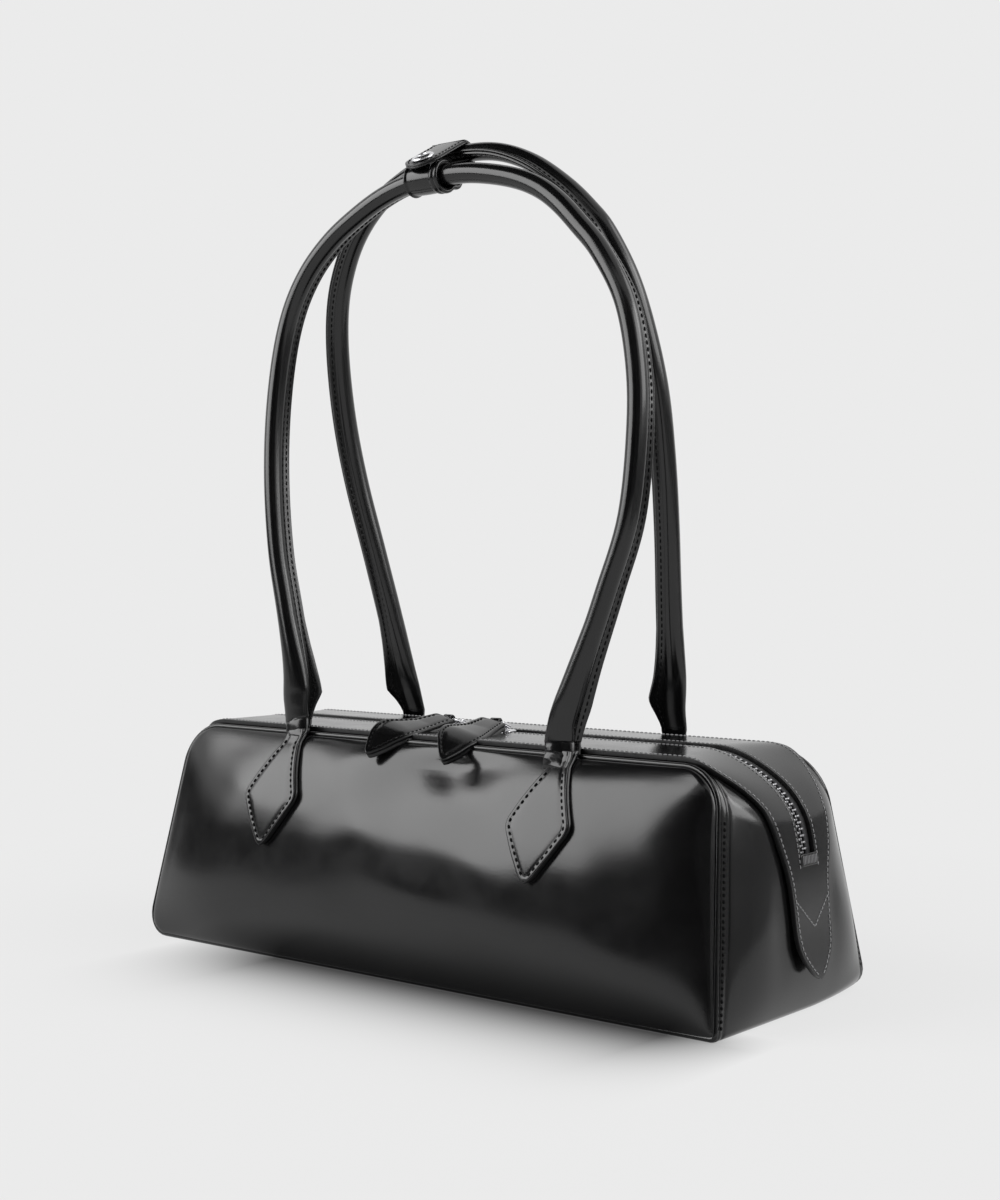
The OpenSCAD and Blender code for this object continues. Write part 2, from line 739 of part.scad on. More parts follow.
module pull_ring_right() {
    color(metal_silver) pull_ring(1);
}

// Place along a pull's middle line, as distance to the front and drop, and the slope there
function pull_place(run) =
    let (flat_run = min(run, pull_bend_run), tip_run = max(0, run - pull_bend_run))
    [
        flat_run * cos(pull_slope) + tip_run * cos(pull_tip_slope),
        flat_run * sin(pull_slope) + tip_run * sin(pull_tip_slope),
        run == pull_bend_run ? (pull_slope + pull_tip_slope) / 2 : tip_run > 0 ? pull_tip_slope : pull_slope
    ];

// Leather pull that lies over the front seam, with the eye that holds it on its ring
module pull(end) {
    eye_w = ring_w - 2 * ring_wire_d - 2 * ring_fit;
    start = ring_wire_d / 2 + 2 * ring_fit + eye_wall / 2;
    shares = [for (row = pull_outline_shares) row[0]];
    bend_share = (pull_bend_run - start) / (pull_len - start);
    runs = concat(
        [for (s = shares) if (s < bend_share - 0.02) mix(start, pull_len, s)],
        [pull_bend_run],
        [for (s = shares) if (s > bend_share + 0.02) mix(start, pull_len, s)]
    );
    function half_w(run) = pull_w * lookup((run - start) / (pull_len - start), pull_outline_shares);
    function point(run, side, t) =
        let (p = pull_place(run), mitre = run == pull_bend_run ? 1 / cos((pull_tip_slope - pull_slope) / 2) : 1)
        [side * half_w(run), -p[0] - t * mitre * sin(p[2]), -p[1] + t * mitre * cos(p[2])];
    at_pull(end)
        difference() {
            union() {
                sheet(
                    [for (run = runs) [for (side = [-1, 1]) point(run, side, pull_t / 2)]],
                    [for (run = runs) [for (side = [-1, 1]) point(run, side, -pull_t / 2)]]
                );
                rotate([0, 90, 0]) cylinder(h = eye_w, r = eye_r, center = true);
            }
            rotate([0, 90, 0])
                cylinder(h = eye_w + overrun, r = ring_wire_d / 2 + ring_fit, center = true);
        }
}

module pull_left() {
    color(leather_black) pull(-1);
}

module pull_right() {
    color(leather_black) pull(1);
}

// Pointed tab sewn on a panel, with the neck that passes over the seam
module tab(side, end) {
    top_z = hinge_z - tab_t / 2 - neck_gap;
    rows = concat(
        [[top_z, neck_w / 2], [seam_h, neck_w / 2]],
        [for (p = tab_outline_shares) [seam_h - p[0] * tab_drop, p[1] * tab_w]]
    );
    cols = 4;
    function point(row, k, t) =
        let (x = end * neck_x + mix(-1, 1, k / cols) * row[1])
        [x, side * (panel_y(x, row[0]) + lay_gap + t), row[0]];
    sheet(
        [for (row = rows) [for (k = [0 : cols]) point(row, k, tab_t)]],
        [for (row = rows) [for (k = [0 : cols]) point(row, k, 0)]]
    );
}

module tab_front_left() {
    color(leather_black) tab(-1, -1);
}

module tab_front_right() {
    color(leather_black) tab(-1, 1);
}

module tab_back_left() {
    color(leather_black) tab(1, -1);
}

module tab_back_right() {
    color(leather_black) tab(1, 1);
}

// Smooth line through points, with as many steps between each two
function curve(points, steps) =
    let (last = len(points) - 1)
    concat(
        [for (i = [0 : last - 1], k = [0 : steps - 1])
            let (
                t = k / steps,
                a = points[max(0, i - 1)],
                b = points[i],
                c = points[i + 1],
                d = points[min(last, i + 2)]
            )
            b + (t * (c - a) + t * t * (2 * a - 5 * b + 4 * c - d) + t * t * t * (3 * b - a - 3 * c + d)) / 2],
        [points[last]]
    );

// Outline of a handle's arch, with its ends drawn onto the necks
function arch_line(shares, half_w, rise) =
    let (ends = [shares[0][0], shares[len(shares) - 1][0]])
    [for (p = shares)
        let (
            end = p[0] < 0 ? 0 : 1,
            slack = (2 * end - 1) * neck_x - ends[end] * half_w,
            hold = pow(1 - clamp(p[1] / 0.3), 2)
        )
        [p[0] * half_w + slack * hold, p[1] * rise]];

// Rings of a handle's section along its arch: side is -1 for the front and 1 for the back
function handle_rings(side, shares, half_w, rise, r, lip) =
    let (line = curve(arch_line(shares, half_w, rise), 2), last = len(line) - 1)
    [for (i = [0 : last])
        let (
            p = line[i],
            along = i == 0 ? [0, 1] : i == last ? [0, -1] : line[i + 1] - line[i - 1],
            out = [along[1], -along[0]] / norm(along),
            full = clamp(p[1] / neck_blend),
            wide = mix(neck_w / handle_d, 1, full),
            thick = mix(tab_t / handle_d, 1, full),
            lip_x = lip > 0 ? lip_t / 2 : r * wide * cos(80),
            lip_y = r * thick * (lip > 0 ? 1 : sin(80)) + lip * full,
            ring = concat(
                [for (k = [0 : 7]) let (a = 112.5 + 45 * k) [r * wide * cos(a), r * thick * sin(a)]],
                [[lip_x, lip_y], [-lip_x, lip_y]]
            )
        )
        [for (q = ring) [p[0] + out[0] * q[0], -side * q[1], p[1] + out[1] * q[0]]]];

// Frame of a handle's necks, leaning as the handle does
module at_handle(side, lean) {
    translate([0, side * hinge_y, hinge_z]) rotate([side * lean, 0, 0]) children();
}

// Rolled cover of a handle, with a round edge under each neck where it bends
module handle_cover(side, shares, half_w, rise, lean) {
    at_handle(side, lean) {
        pipe(
            handle_rings(side, shares, half_w, rise, handle_r, lip_h),
            handle_rings(side, shares, half_w, rise, handle_r - handle_wall, 0)
        );
        for (end = [-1, 1])
            translate([end * neck_x, 0, 0]) rotate([0, 90, 0]) cylinder(h = neck_w, d = tab_t, center = true);
    }
}

module handle_core(side, shares, half_w, rise, lean) {
    rings = handle_rings(side, shares, half_w, rise, handle_r - handle_wall - lay_gap, 0);
    at_handle(side, lean) tube([for (k = [3 : len(rings) - 4]) rings[k]]);
}

module handle_front() {
    color(leather_black) handle_cover(-1, front_arch_shares, front_half_w, front_rise, front_lean);
}

module handle_front_core() {
    color(core_cream) handle_core(-1, front_arch_shares, front_half_w, front_rise, front_lean);
}

module handle_back() {
    color(leather_black) handle_cover(1, back_arch_shares, back_half_w, back_rise, back_lean);
}

module handle_back_core() {
    color(core_cream) handle_core(1, back_arch_shares, back_half_w, back_rise, back_lean);
}

// Frame with its x to the back, its y up and its z along the handles, at a point across the bag
module at_keeper(spot) {
    translate([keeper_x, spot[0], spot[1]]) rotate([90, 0, 90]) children();
}

// Section of the sleeve, drawn in by inset from its outer face
module sleeve_section(inset) {
    r = sleeve_out_r - inset;
    lip_r = lip_t / 2 + keeper_fit + keeper_t - inset;
    rotate([0, 0, -front_lean]) {
        circle(r);
        translate([0, -lip_r]) square([lip_reach, 2 * lip_r]);
        translate([lip_reach, 0]) circle(lip_r);
    }
}

// Sleeve round the front handle, with a rim at each end
module keeper_sleeve() {
    color(leather_black)
        at_keeper(front_spot)
            difference() {
                union() {
                    linear_extrude(height = keeper_w, center = true) sleeve_section(0);
                    for (end = [-1, 1])
                        translate([0, 0, end * (keeper_w - rim_w) / 2])
                            linear_extrude(height = rim_w, center = true) sleeve_section(-rim_h);
                }
                linear_extrude(height = keeper_w + overrun, center = true) sleeve_section(keeper_t);
            }
}

// Strap from the sleeve round the back handle
module keeper_strap() {
    width = keeper_w - 2 * rim_w - 2 * lay_gap;
    color(leather_black)
        at_keeper(back_spot) {
            rotate([0, 0, strap_angle - 90])
                rotate_extrude(angle = flap_angle - strap_angle + 180 - strap_gap_angle)
                    translate([flap_back_lift, -width / 2])
                        square([keeper_t, width]);
            rotate([0, 0, strap_angle])
                translate([-strap_run, -flap_back_lift - keeper_t, -width / 2])
                    cube([strap_run, keeper_t, width]);
        }
}

// Frame of the flap, with x to the back along it and y square to it, at the middle of the back handle
module at_flap() {
    at_keeper(back_spot) rotate([0, 0, flap_angle]) children();
}

// Frame of the snap, with its z square to the flap, at the middle of the front handle
module at_snap() {
    at_keeper(front_spot) rotate([0, 0, flap_angle]) rotate([-90, 0, 0]) children();
}

// Flap over the top of the sleeve, with the hole for the snap and a round edge where it folds
module keeper_flap() {
    reach = flap_run + flap_reach - keeper_w / 2;
    color(leather_black)
        difference() {
            at_flap() {
                translate([0, flap_back_lift, 0])
                    rotate([-90, 0, 0])
                        linear_extrude(height = keeper_t) {
                            translate([-reach, -keeper_w / 2]) square([reach, keeper_w]);
                            translate([-reach, 0]) circle(d = keeper_w);
                        }
                translate([0, flap_back_lift + keeper_t / 2, 0])
                    cylinder(h = keeper_w, d = keeper_t, center = true);
            }
            at_snap() cylinder(h = flap_lift + keeper_t + overrun, r = socket_r + lay_gap);
        }
}

// Ring-shaped cap on top of the flap
module snap_cap() {
    color(metal_silver)
        at_snap()
            translate([0, 0, flap_lift + keeper_t + lay_gap])
                rotate_extrude()
                    polygon([
                        [snap_hole_d / 2, 0], [snap_d / 2, 0], [snap_d / 2, snap_cap_t / 3],
                        [snap_d / 2 - snap_cap_t, snap_cap_t], [snap_hole_d / 2, snap_cap_t]
                    ]);
}

// Socket through the flap
module snap_socket() {
    color(metal_silver)
        at_snap()
            translate([0, 0, sleeve_out_r + snap_fit])
                difference() {
                    cylinder(h = flap_lift + keeper_t - sleeve_out_r - snap_fit, r = socket_r);
                    translate([0, 0, -overrun])
                        cylinder(h = flap_lift + keeper_t + overrun, r = stud_d / 2 + snap_fit);
                }
}

// Stud on top of the sleeve
module snap_stud() {
    color(metal_silver)
        difference() {
            at_snap() cylinder(h = sleeve_out_r + stud_h, d = stud_d);
            at_keeper(front_spot) cylinder(h = keeper_w + overrun, r = sleeve_out_r + lay_gap, center = true);
        }
}

front_panel();
back_panel();
left_gusset();
right_gusset();
base_panel();
base_board();
lining();
piping_front();
piping_back();
zip_strip();
slot_patch_left();
slot_patch_right();
zip_tape_front();
zip_tape_back();
zip_teeth_front();
zip_teeth_back();
slider_left();
slider_right();
pull_ring_left();
pull_ring_right();
pull_left();
pull_right();
tab_front_left();
tab_front_right();
tab_back_left();
tab_back_right();
handle_front();
handle_front_core();
handle_back();
handle_back_core();
keeper_sleeve();
keeper_strap();
keeper_flap();
snap_cap();
snap_socket();
snap_stud();
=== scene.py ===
import math

import bmesh
import bpy
import numpy as np
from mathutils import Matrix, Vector


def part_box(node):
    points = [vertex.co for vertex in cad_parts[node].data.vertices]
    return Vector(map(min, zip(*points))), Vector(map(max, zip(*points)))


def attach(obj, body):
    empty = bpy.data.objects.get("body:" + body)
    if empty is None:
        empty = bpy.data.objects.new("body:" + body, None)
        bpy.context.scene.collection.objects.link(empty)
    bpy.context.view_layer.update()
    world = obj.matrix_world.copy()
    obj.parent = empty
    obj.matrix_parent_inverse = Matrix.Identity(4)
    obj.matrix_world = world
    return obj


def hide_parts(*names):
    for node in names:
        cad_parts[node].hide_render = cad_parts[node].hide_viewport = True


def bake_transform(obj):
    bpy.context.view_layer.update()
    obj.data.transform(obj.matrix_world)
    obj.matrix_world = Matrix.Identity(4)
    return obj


bl_info = {
    "name": "Shoulder Bag",
    "version": (1, 0, 0),
    "blender": (4, 5, 0),
    "location": "3D View > Sidebar > Bag",
    "description": "Builds a slim leather shoulder bag round its packed frame",
    "category": "Add Mesh",
}

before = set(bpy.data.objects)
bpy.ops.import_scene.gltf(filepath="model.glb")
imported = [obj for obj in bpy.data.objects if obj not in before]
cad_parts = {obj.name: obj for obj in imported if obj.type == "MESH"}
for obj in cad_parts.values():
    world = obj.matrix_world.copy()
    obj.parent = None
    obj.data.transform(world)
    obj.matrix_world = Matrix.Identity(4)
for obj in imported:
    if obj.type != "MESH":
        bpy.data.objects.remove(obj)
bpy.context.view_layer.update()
MM = 0.001
SIDES = {-1: "front", 1: "back"}
ENDS = {-1: "left", 1: "right"}
PIPING_LOW, PIPING_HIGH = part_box("piping_front")
PIPING_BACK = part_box("piping_back")[1]
SMALL = 1e-9


# Sizes and colours

def length(name, value, description):
    return bpy.props.FloatProperty(
        name=name, description=description, default=value, min=0.0001, max=2, unit="LENGTH", precision=5
    )


def colour(name, value, description):
    return bpy.props.FloatVectorProperty(
        name=name, description=description, default=value, size=3, min=0, max=1, subtype="COLOR"
    )


def plain(name, value, description, low=0.0, high=10.0):
    return bpy.props.FloatProperty(name=name, description=description, default=value, min=low, max=high)


class BagBodySizes(bpy.types.PropertyGroup):
    foot_len: length("Foot length", PIPING_HIGH.x - PIPING_LOW.x, "Length of the bag at its foot")
    top_len: length("Top length", 0.314, "Length of the bag at its top seam")
    foot_dep: length("Foot depth", PIPING_BACK.y - PIPING_LOW.y, "Depth of the bag at its foot")
    top_dep: length("Top depth", 0.081, "Depth of the bag at its top seam")
    seam_h: length("Height", PIPING_HIGH.z, "Height of the top seam over the floor")
    puff: length("Panel swell", 0.0114, "How far the front and back panels swell")
    end_puff: length("End swell", 0.0102, "How far the ends swell")
    leather: length("Leather thickness", 0.0018, "Thickness of the bag's leather")
    bead: length("Piping", 0.0026, "Diameter of the piping")
    grain: plain("Unevenness", 1.0, "Share of the small dents and ripples in the leather", 0.0, 3.0)


class BagZipSizes(bpy.types.PropertyGroup):
    strip_t: length("Strip thickness", 0.002, "Thickness of the strip that holds the zip")
    crest: length("Strip crest", 0.003, "Height of the strip's crest over the top seam")
    slot_w: length("Slot width", 0.011, "Width of the zip's slot")
    slot_end: length("Slot end", 0.063, "Height at which the slot ends")
    chain_w: length("Chain width", 0.0058, "Width of the zip's chain")
    pitch: length("Tooth pitch", 0.0027, "Distance from tooth to tooth in one row")
    slider_x: length("Slider place", 0.013, "Place of the sliders at rest, from the middle")
    pull_len: length("Pull length", 0.05, "Length of the leather pulls")
    pull_w: length("Pull width", 0.0195, "Widest part of the leather pulls")
    pull_t: length("Pull thickness", 0.0035, "Thickness of the leather pulls")


class BagHandleSizes(bpy.types.PropertyGroup):
    neck_x: length("Neck place", 0.08, "Place of the necks, from the middle of the bag")
    handle_d: length("Handle diameter", 0.0092, "Diameter of the rolled handles")
    lip_h: length("Lip height", 0.0034, "Height of the sewn lip on the handles")
    lip_t: length("Lip thickness", 0.0028, "Thickness of the sewn lip on the handles")
    front_half: length("Front half width", 0.108, "Half width of the front handle")
    front_rise: length("Front rise", 0.252, "Rise of the front handle over its necks")
    front_lean: plain("Front lean", 3.6, "Lean of the front handle to the middle, in degrees", 0, 20)
    back_half: length("Back half width", 0.095, "Half width of the back handle")
    back_rise: length("Back rise", 0.2695, "Rise of the back handle over its necks")
    back_lean: plain("Back lean", 11.3, "Lean of the back handle to the middle, in degrees", 0, 20)
    tab_t: length("Tab thickness", 0.0034, "Thickness of the sewn tabs")
    tab_w: length("Tab width", 0.0325, "Width of the sewn tabs")
    tab_drop: length("Tab drop", 0.052, "Length of the tabs below the top seam")
    keeper_w: length("Keeper width", 0.02, "Width of the keeper along the handles")
    keeper_x: plain("Keeper place", -0.009, "Place of the keeper along the handles, in metres", -0.1, 0.1)


class BagLooks(bpy.types.PropertyGroup):
    leather: colour("Leather", (0.0032, 0.0032, 0.0034), "Colour of the polished leather")
    edge_paint: colour("Edge paint", (0.003, 0.003, 0.0033), "Colour of the painted leather edges")
    thread: colour("Thread", (0.003, 0.003, 0.0033), "Colour of the thread on panels, tabs and handles")
    strip_thread: colour("Strip thread", (0.24, 0.24, 0.245), "Colour of the thread on the zip strip")
    tape: colour("Zip tape", (0.012, 0.012, 0.014), "Colour of the woven zip tape")
    metal: colour("Metal", (0.80, 0.80, 0.82), "Colour of the zip's and the snap's metal")
    cloth: colour("Lining", (0.06, 0.06, 0.065), "Colour of the lining cloth")
    board: colour("Base board", (0.30, 0.27, 0.23), "Colour of the base board")
    core: colour("Handle core", (0.72, 0.68, 0.58), "Colour of the cord in the handles")
    gloss: plain("Leather roughness", 0.175, "Roughness of the leather's surface", 0.05, 1)


# The bag's own shape

def mix(a, b, t):
    return a + (b - a) * t


def clamp(v):
    return np.clip(v, 0.0, 1.0)


def corner_cut(h, r):
    """How far a rounded corner of radius r cuts in at a height h over its start."""
    r = np.maximum(r, SMALL)
    return np.where(h >= r, 0.0, r - np.sqrt(np.maximum(0.0, r * r - (r - h) ** 2)))


def smooth_edge(points, window):
    """Half widths by height from a few measured ones, rounded over a window, in metres."""
    points = np.array(points) * MM
    z = np.linspace(points[0, 0], points[-1, 0], 500)
    half = np.interp(z, points[:, 0], points[:, 1])
    spread = max(1, int(window / (z[1] - z[0]) / 2))
    shape = np.hanning(2 * spread + 3)
    high = half[-1] + (half[-1] - half[-2]) * np.arange(1, spread + 2)
    low = -half[1:spread + 2][::-1]
    return np.stack([z, np.convolve(np.concatenate([low, half, high]), shape / shape.sum(), "valid")], -1)


# Half widths of the zip strip by height, in mm: its pointed tip, its tongue and its run onto the top.
STRIP_EDGE = smooth_edge([
    (16.2, 0), (17.2, 2.3), (18.6, 4.2), (20.3, 6.0), (22.5, 8.0), (26, 10.9), (30, 13.0), (35, 14.0), (46, 14.6),
    (55, 15.3), (62, 16.7), (70, 19.3), (78, 21.3), (85, 23.8), (91, 28.0), (96, 32.0), (100, 35.4), (103, 37.2),
    (104.6, 38.2), (106, 39.0),
], 3.0 * MM)

# Dents and swells of the front panel, in mm: middle (x, height), half length, half height, turn in radians and
# height of the swell (a dent is less than 0). The back panel has the same ones, weaker and mirrored.
DENTS = [
    (35.3, 101.3, 61, 12.5, 0.34, -3.57), (17.6, 96.3, 45.5, 11.6, -0.56, -3.09),
    (-32.7, 99, 46.6, 16.8, -1.14, 1.83), (48.6, 53.7, 58.5, 21.2, -0.17, 1.86),
    (125.7, 60.7, 22.8, 35.3, 0.16, -1.71), (-132, 67.7, 21.9, 41, -0.62, -1.88),
    (35.3, 36.1, 57.4, 11.2, -0.13, 0.99), (-79.5, 30.8, 72.5, 14.7, -0.69, -0.08),
    (133, 73.2, 65.9, 32.2, 0.05, 1.9), (-113, 85.8, 32.6, 7.4, -0.28, 0.56),
]
BACK_DENTS, DENT_FADE = 0.7, 10 * MM

# Largest radii of the bag's corners, at its foot and at its shoulders.
FOOT_R, TOP_R = 14 * MM, 22.5 * MM
# How late a panel's swell falls off to its sides, its top and its foot, and an end's to its seams and its foot.
PANEL_POWERS, END_POWERS = (6.5, 3.1, 3.8), (4, 3)
# A panel's leather rolls out of the piping: how far, over what height, and the height where the roll is full.
ROLL, ROLL_REACH, ROLL_FULL = 1.33 * MM, 4.24 * MM, 60 * MM
# The seams in the base lie this far from the ends of the foot.
BASE_SEAM = 70 * MM
# What is sewn or laid on something else stands off by this.
LAY = 0.15 * MM


class Form:
    """The shape of the bag's outside. Shares run from 0 at the front seam to 1 at the back seam."""

    def __init__(self, scene):
        self.b, self.z, self.h = scene.bag_body, scene.bag_zip, scene.bag_handles
        self.seam_h = self.b.seam_h
        self.inset = self.b.bead * 0.72

    def half_len(self, z):
        return mix(self.b.foot_len, self.b.top_len, z / self.seam_h) / 2

    def half_dep(self, z):
        return mix(self.b.foot_dep, self.b.top_dep, clamp(z / self.seam_h)) / 2

    def foot_r(self, end, share):
        """Radius of the bag's foot: round at the left, sharp in front and rounder behind at the right."""
        if end < 0:
            return FOOT_R
        return mix(3.2 * MM, 10.5 * MM, clamp((np.asarray(share, float) - 0.6) / 0.4) ** 1.5)

    def top_r(self, end, share):
        """Radius of the bag's shoulder: wider in the middle of the end than at its seams."""
        at_seam = 20 * MM if end < 0 else mix(17.5 * MM, TOP_R, share)
        return at_seam + 11 * MM * (1 - (2 * np.asarray(share, float) - 1) ** 2)

    def edge_x(self, z, end, share, inset):
        """Half length of a panel at one height, drawn in by inset."""
        foot, top = self.foot_r(end, share) - inset, self.top_r(end, share) - inset
        return (
            self.half_len(z) - inset
            - np.maximum(corner_cut(z - inset, foot), corner_cut(self.seam_h - inset - z, top))
        )

    def panel_out(self, x, z):
        """How far a panel swells out of the plane of its seams."""
        across, top, foot = PANEL_POWERS
        wide = 1 - clamp(np.abs(x) / self.half_len(z)) ** across
        level = 2 * z / self.seam_h - 1
        high = 1 - clamp(np.abs(level)) ** np.where(level > 0, top, foot)
        roll = ROLL * (1 - np.exp(-np.maximum(self.seam_h - z, 0) / ROLL_REACH)) * clamp(z / ROLL_FULL)
        return (self.b.puff * high + roll) * wide

    def panel_y(self, x, z, side):
        """Distance of a panel's outer face from the middle of the bag."""
        return self.half_dep(z) + self.panel_out(x, z) + self.dents(x, z, side)

    def panel_soft(self, x, z, side):
        """The panel under a stiff piece of leather, which bends less sharply than the panel."""
        steps = np.array([-5, -2.5, 0, 2.5, 5]) * MM
        near = [self.panel_y(x, np.clip(z + step, 0, self.seam_h), side) for step in steps]
        return sum(near) / len(near)

    def dents(self, x, z, side):
        """Broad, soft dents and swells of an empty bag: the leather sinks under the pulls and between tabs."""
        total = 0 * x + 0 * z
        for x0, z0, long, high, turn, depth in DENTS:
            c, s = math.cos(turn), math.sin(turn)
            a, b = -side * x - x0 * MM, z - z0 * MM
            u, v = (a * c + b * s) / (long * MM), (b * c - a * s) / (high * MM)
            total = total + depth * MM * np.exp(-u ** 2 - v ** 2)
        near = np.minimum(self.half_len(z) - np.abs(x), np.minimum(z, self.seam_h - z))
        return total * clamp(near / DENT_FADE) * self.b.grain * (1 if side < 0 else BACK_DENTS)

    def end_out(self, y, z):
        """How far an end swells."""
        across, along = END_POWERS
        wide = 1 - clamp(np.abs(y) / (self.half_dep(z) - 2.0 * MM)) ** across
        high = 1 - clamp(np.abs(2 * z / self.seam_h - 1)) ** along
        return self.b.end_puff * wide * high

    def strip_half(self, z):
        """Half width of the zip strip at one height."""
        full = self.half_dep(z) - self.b.bead - LAY
        return np.minimum(np.interp(z, STRIP_EDGE[:, 0], STRIP_EDGE[:, 1]), full)

    def row_height(self, row, low_z, share):
        """Height of one row of the strip at one share across the bag."""
        end, kind, t = row
        top = self.top_r(end, share)
        if kind == "side":
            return mix(low_z, self.seam_h - top, t)
        return self.seam_h - top * (1 - math.sin(math.pi / 2 * t))

    def row_half(self, row, low_z):
        """Half width of the strip on one row, where the row's own height depends on it round the corner."""
        if row[1] == "deck":
            return float(self.strip_half(self.seam_h))
        half = float(self.strip_half(self.row_height(row, low_z, 0.5)))
        for _ in range(12):
            share = min(0.5, half / self.b.top_dep)
            z = (self.row_height(row, low_z, 0.5 - share) + self.row_height(row, low_z, 0.5 + share)) / 2
            half = mix(half, float(self.strip_half(z)), 0.5)
        return half

    def strip_rows(self, low_z, side=44, bend=12, deck=80):
        """Rows along the zip strip: end (-1, 0 or 1), height or x, and the share round the corner."""
        left = [(-1, "side", t) for t in np.linspace(0, 1, side)]
        left += [(-1, "bend", t) for t in np.linspace(0, 1, bend + 1)[1:]]
        middle = [(0, "deck", t) for t in np.linspace(0, 1, deck + 1)[1:-1]]
        return left + middle + [(1, kind, t) for _, kind, t in reversed(left)], low_z

    def strip_place(self, rows, across, lift_t, flat=False):
        """Points of the strip. across gives y for each row as a function of the strip's half width there."""
        rows, low_z = rows
        made = []
        for end, kind, t in rows:
            y = across(self.row_half((end, kind, t), low_z))
            if kind == "deck":
                share = y / self.half_dep(self.seam_h) / 2 + 0.5
                left = -(self.half_len(self.seam_h) - self.top_r(-1, share))
                right = self.half_len(self.seam_h) - self.top_r(1, share)
                x, z = mix(left, right, t) + 0 * y, self.seam_h + 0 * y
                dx, dz, over = 0 * y, 1 + 0 * y, 0 * y
            else:
                z0 = self.row_height((end, kind, t), low_z, 0.5)
                share = clamp(y / self.half_dep(z0) / 2 + 0.5)
                top_r = self.top_r(end, share) + 0 * y
                if kind == "side":
                    z = mix(low_z, self.seam_h - top_r, t)
                    x, dx, dz, over = end * self.half_len(z), end + 0 * y, 0 * y, 1 + 0 * y
                else:
                    a = math.pi / 2 * t
                    z = self.seam_h - top_r + top_r * math.sin(a)
                    x = end * (self.half_len(z) - top_r * (1 - math.cos(a)))
                    dx, dz, over = end * math.cos(a) + 0 * y, math.sin(a) + 0 * y, math.cos(a) + 0 * y
            lift = self.strip_lift(0 * y if flat else y, z, over) + lift_t
            made.append(np.stack([x + dx * lift, y, z + dz * lift], -1))
        return np.array(made)

    def strip_lift(self, y, z, over):
        """Height of the strip's underside over the seam line, on the top and over the ends."""
        crest = (self.z.crest - self.z.strip_t) * (1 - clamp(np.abs(y) / self.half_dep(self.seam_h)) ** 2)
        tongue_off = 4.2 * MM * clamp((42 * MM - z) / (25.5 * MM)) ** 2
        reach = np.minimum(np.abs(y), self.half_dep(z))
        return mix(crest, self.end_out(reach, z) + 2 * LAY + tongue_off, over ** 2)


# Meshes

def piece(name, verts, faces, *finishes, slots=None, smooth=True):
    """One mesh from points and faces, with loose points dropped and faces turned outward."""
    verts = np.asarray(verts, float).reshape(-1, 3)
    mesh = bpy.data.meshes.new(name)
    mesh.from_pydata(verts.tolist(), [], [list(map(int, f)) for f in faces])
    for finish in finishes:
        mesh.materials.append(finish)
    if slots is not None:
        mesh.polygons.foreach_set("material_index", np.asarray(slots, np.int32))
    mesh.polygons.foreach_set("use_smooth", np.full(len(mesh.polygons), smooth))
    tidy = bmesh.new()
    tidy.from_mesh(mesh)
    bmesh.ops.delete(tidy, geom=[v for v in tidy.verts if not v.link_faces], context="VERTS")
    bmesh.ops.recalc_face_normals(tidy, faces=tidy.faces)
    tidy.to_mesh(mesh)
    tidy.free()
    obj = bpy.data.objects.new(name, mesh)
    bpy.context.scene.collection.objects.link(obj)
    return obj


def grid_quads(rows, cols, ring=False, loop=False):
    """Four-sided faces between rows of points. ring closes the rows, loop joins the last row to the first."""
    down, across = np.arange(rows if loop else rows - 1), np.arange(cols if ring else cols - 1)
    i, j = np.meshgrid(down, across, indexing="ij")
    i2, j2 = (i + 1) % rows, (j + 1) % cols
    quads = np.stack([i * cols + j, i * cols + j2, i2 * cols + j2, i2 * cols + j], -1)
    return quads.reshape(-1, 4)


def sheet_mesh(outer, inner, keep=None):
    """Closed sheet between two grids of points; keep says which cells are there. Gives points, faces, slots."""
    rows, cols = outer.shape[:2]
    count = rows * cols
    top = grid_quads(rows, cols)
    if keep is not None:
        top = top[keep.reshape(-1)]
    under = top[:, ::-1] + count
    edges = np.concatenate([top[:, [0, 1]], top[:, [1, 2]], top[:, [2, 3]], top[:, [3, 0]]])
    both = set(map(tuple, edges.tolist()))
    walls = [(q, p, p + count, q + count) for p, q in sorted(both) if (q, p) not in both]
    verts = np.concatenate([outer.reshape(-1, 3), inner.reshape(-1, 3)])
    faces = top.tolist() + under.tolist() + walls
    return verts, faces, [0] * (2 * len(top)) + [1] * len(walls)


def tube_mesh(rings, loop=False):
    """Tube through rings of points. It is closed on itself, or its ends are closed by fans."""
    rings = np.asarray(rings, float)
    rows, cols = rings.shape[:2]
    verts = rings.reshape(-1, 3)
    faces = grid_quads(rows, cols, ring=True, loop=loop).tolist()
    if not loop:
        hub, last = rows * cols, (rows - 1) * cols
        verts = np.concatenate([verts, [rings[0].mean(0)], [rings[-1].mean(0)]])
        for k in range(cols):
            faces.append(((k + 1) % cols, k, hub))
            faces.append((last + k, last + (k + 1) % cols, hub + 1))
    return verts, faces


def join(parts):
    """Points and faces of several meshes as one."""
    verts, faces, slots, start = [], [], [], 0
    for part in parts:
        v, f = part[0], part[1]
        s = part[2] if len(part) > 2 else [0] * len(f)
        verts.append(np.asarray(v, float).reshape(-1, 3))
        faces += [[int(i) + start for i in face] for face in f]
        slots += list(s)
        start += len(verts[-1])
    return np.concatenate(verts), faces, slots


def unit(v):
    return v / np.maximum(np.linalg.norm(v, axis=-1, keepdims=True), 1e-12)


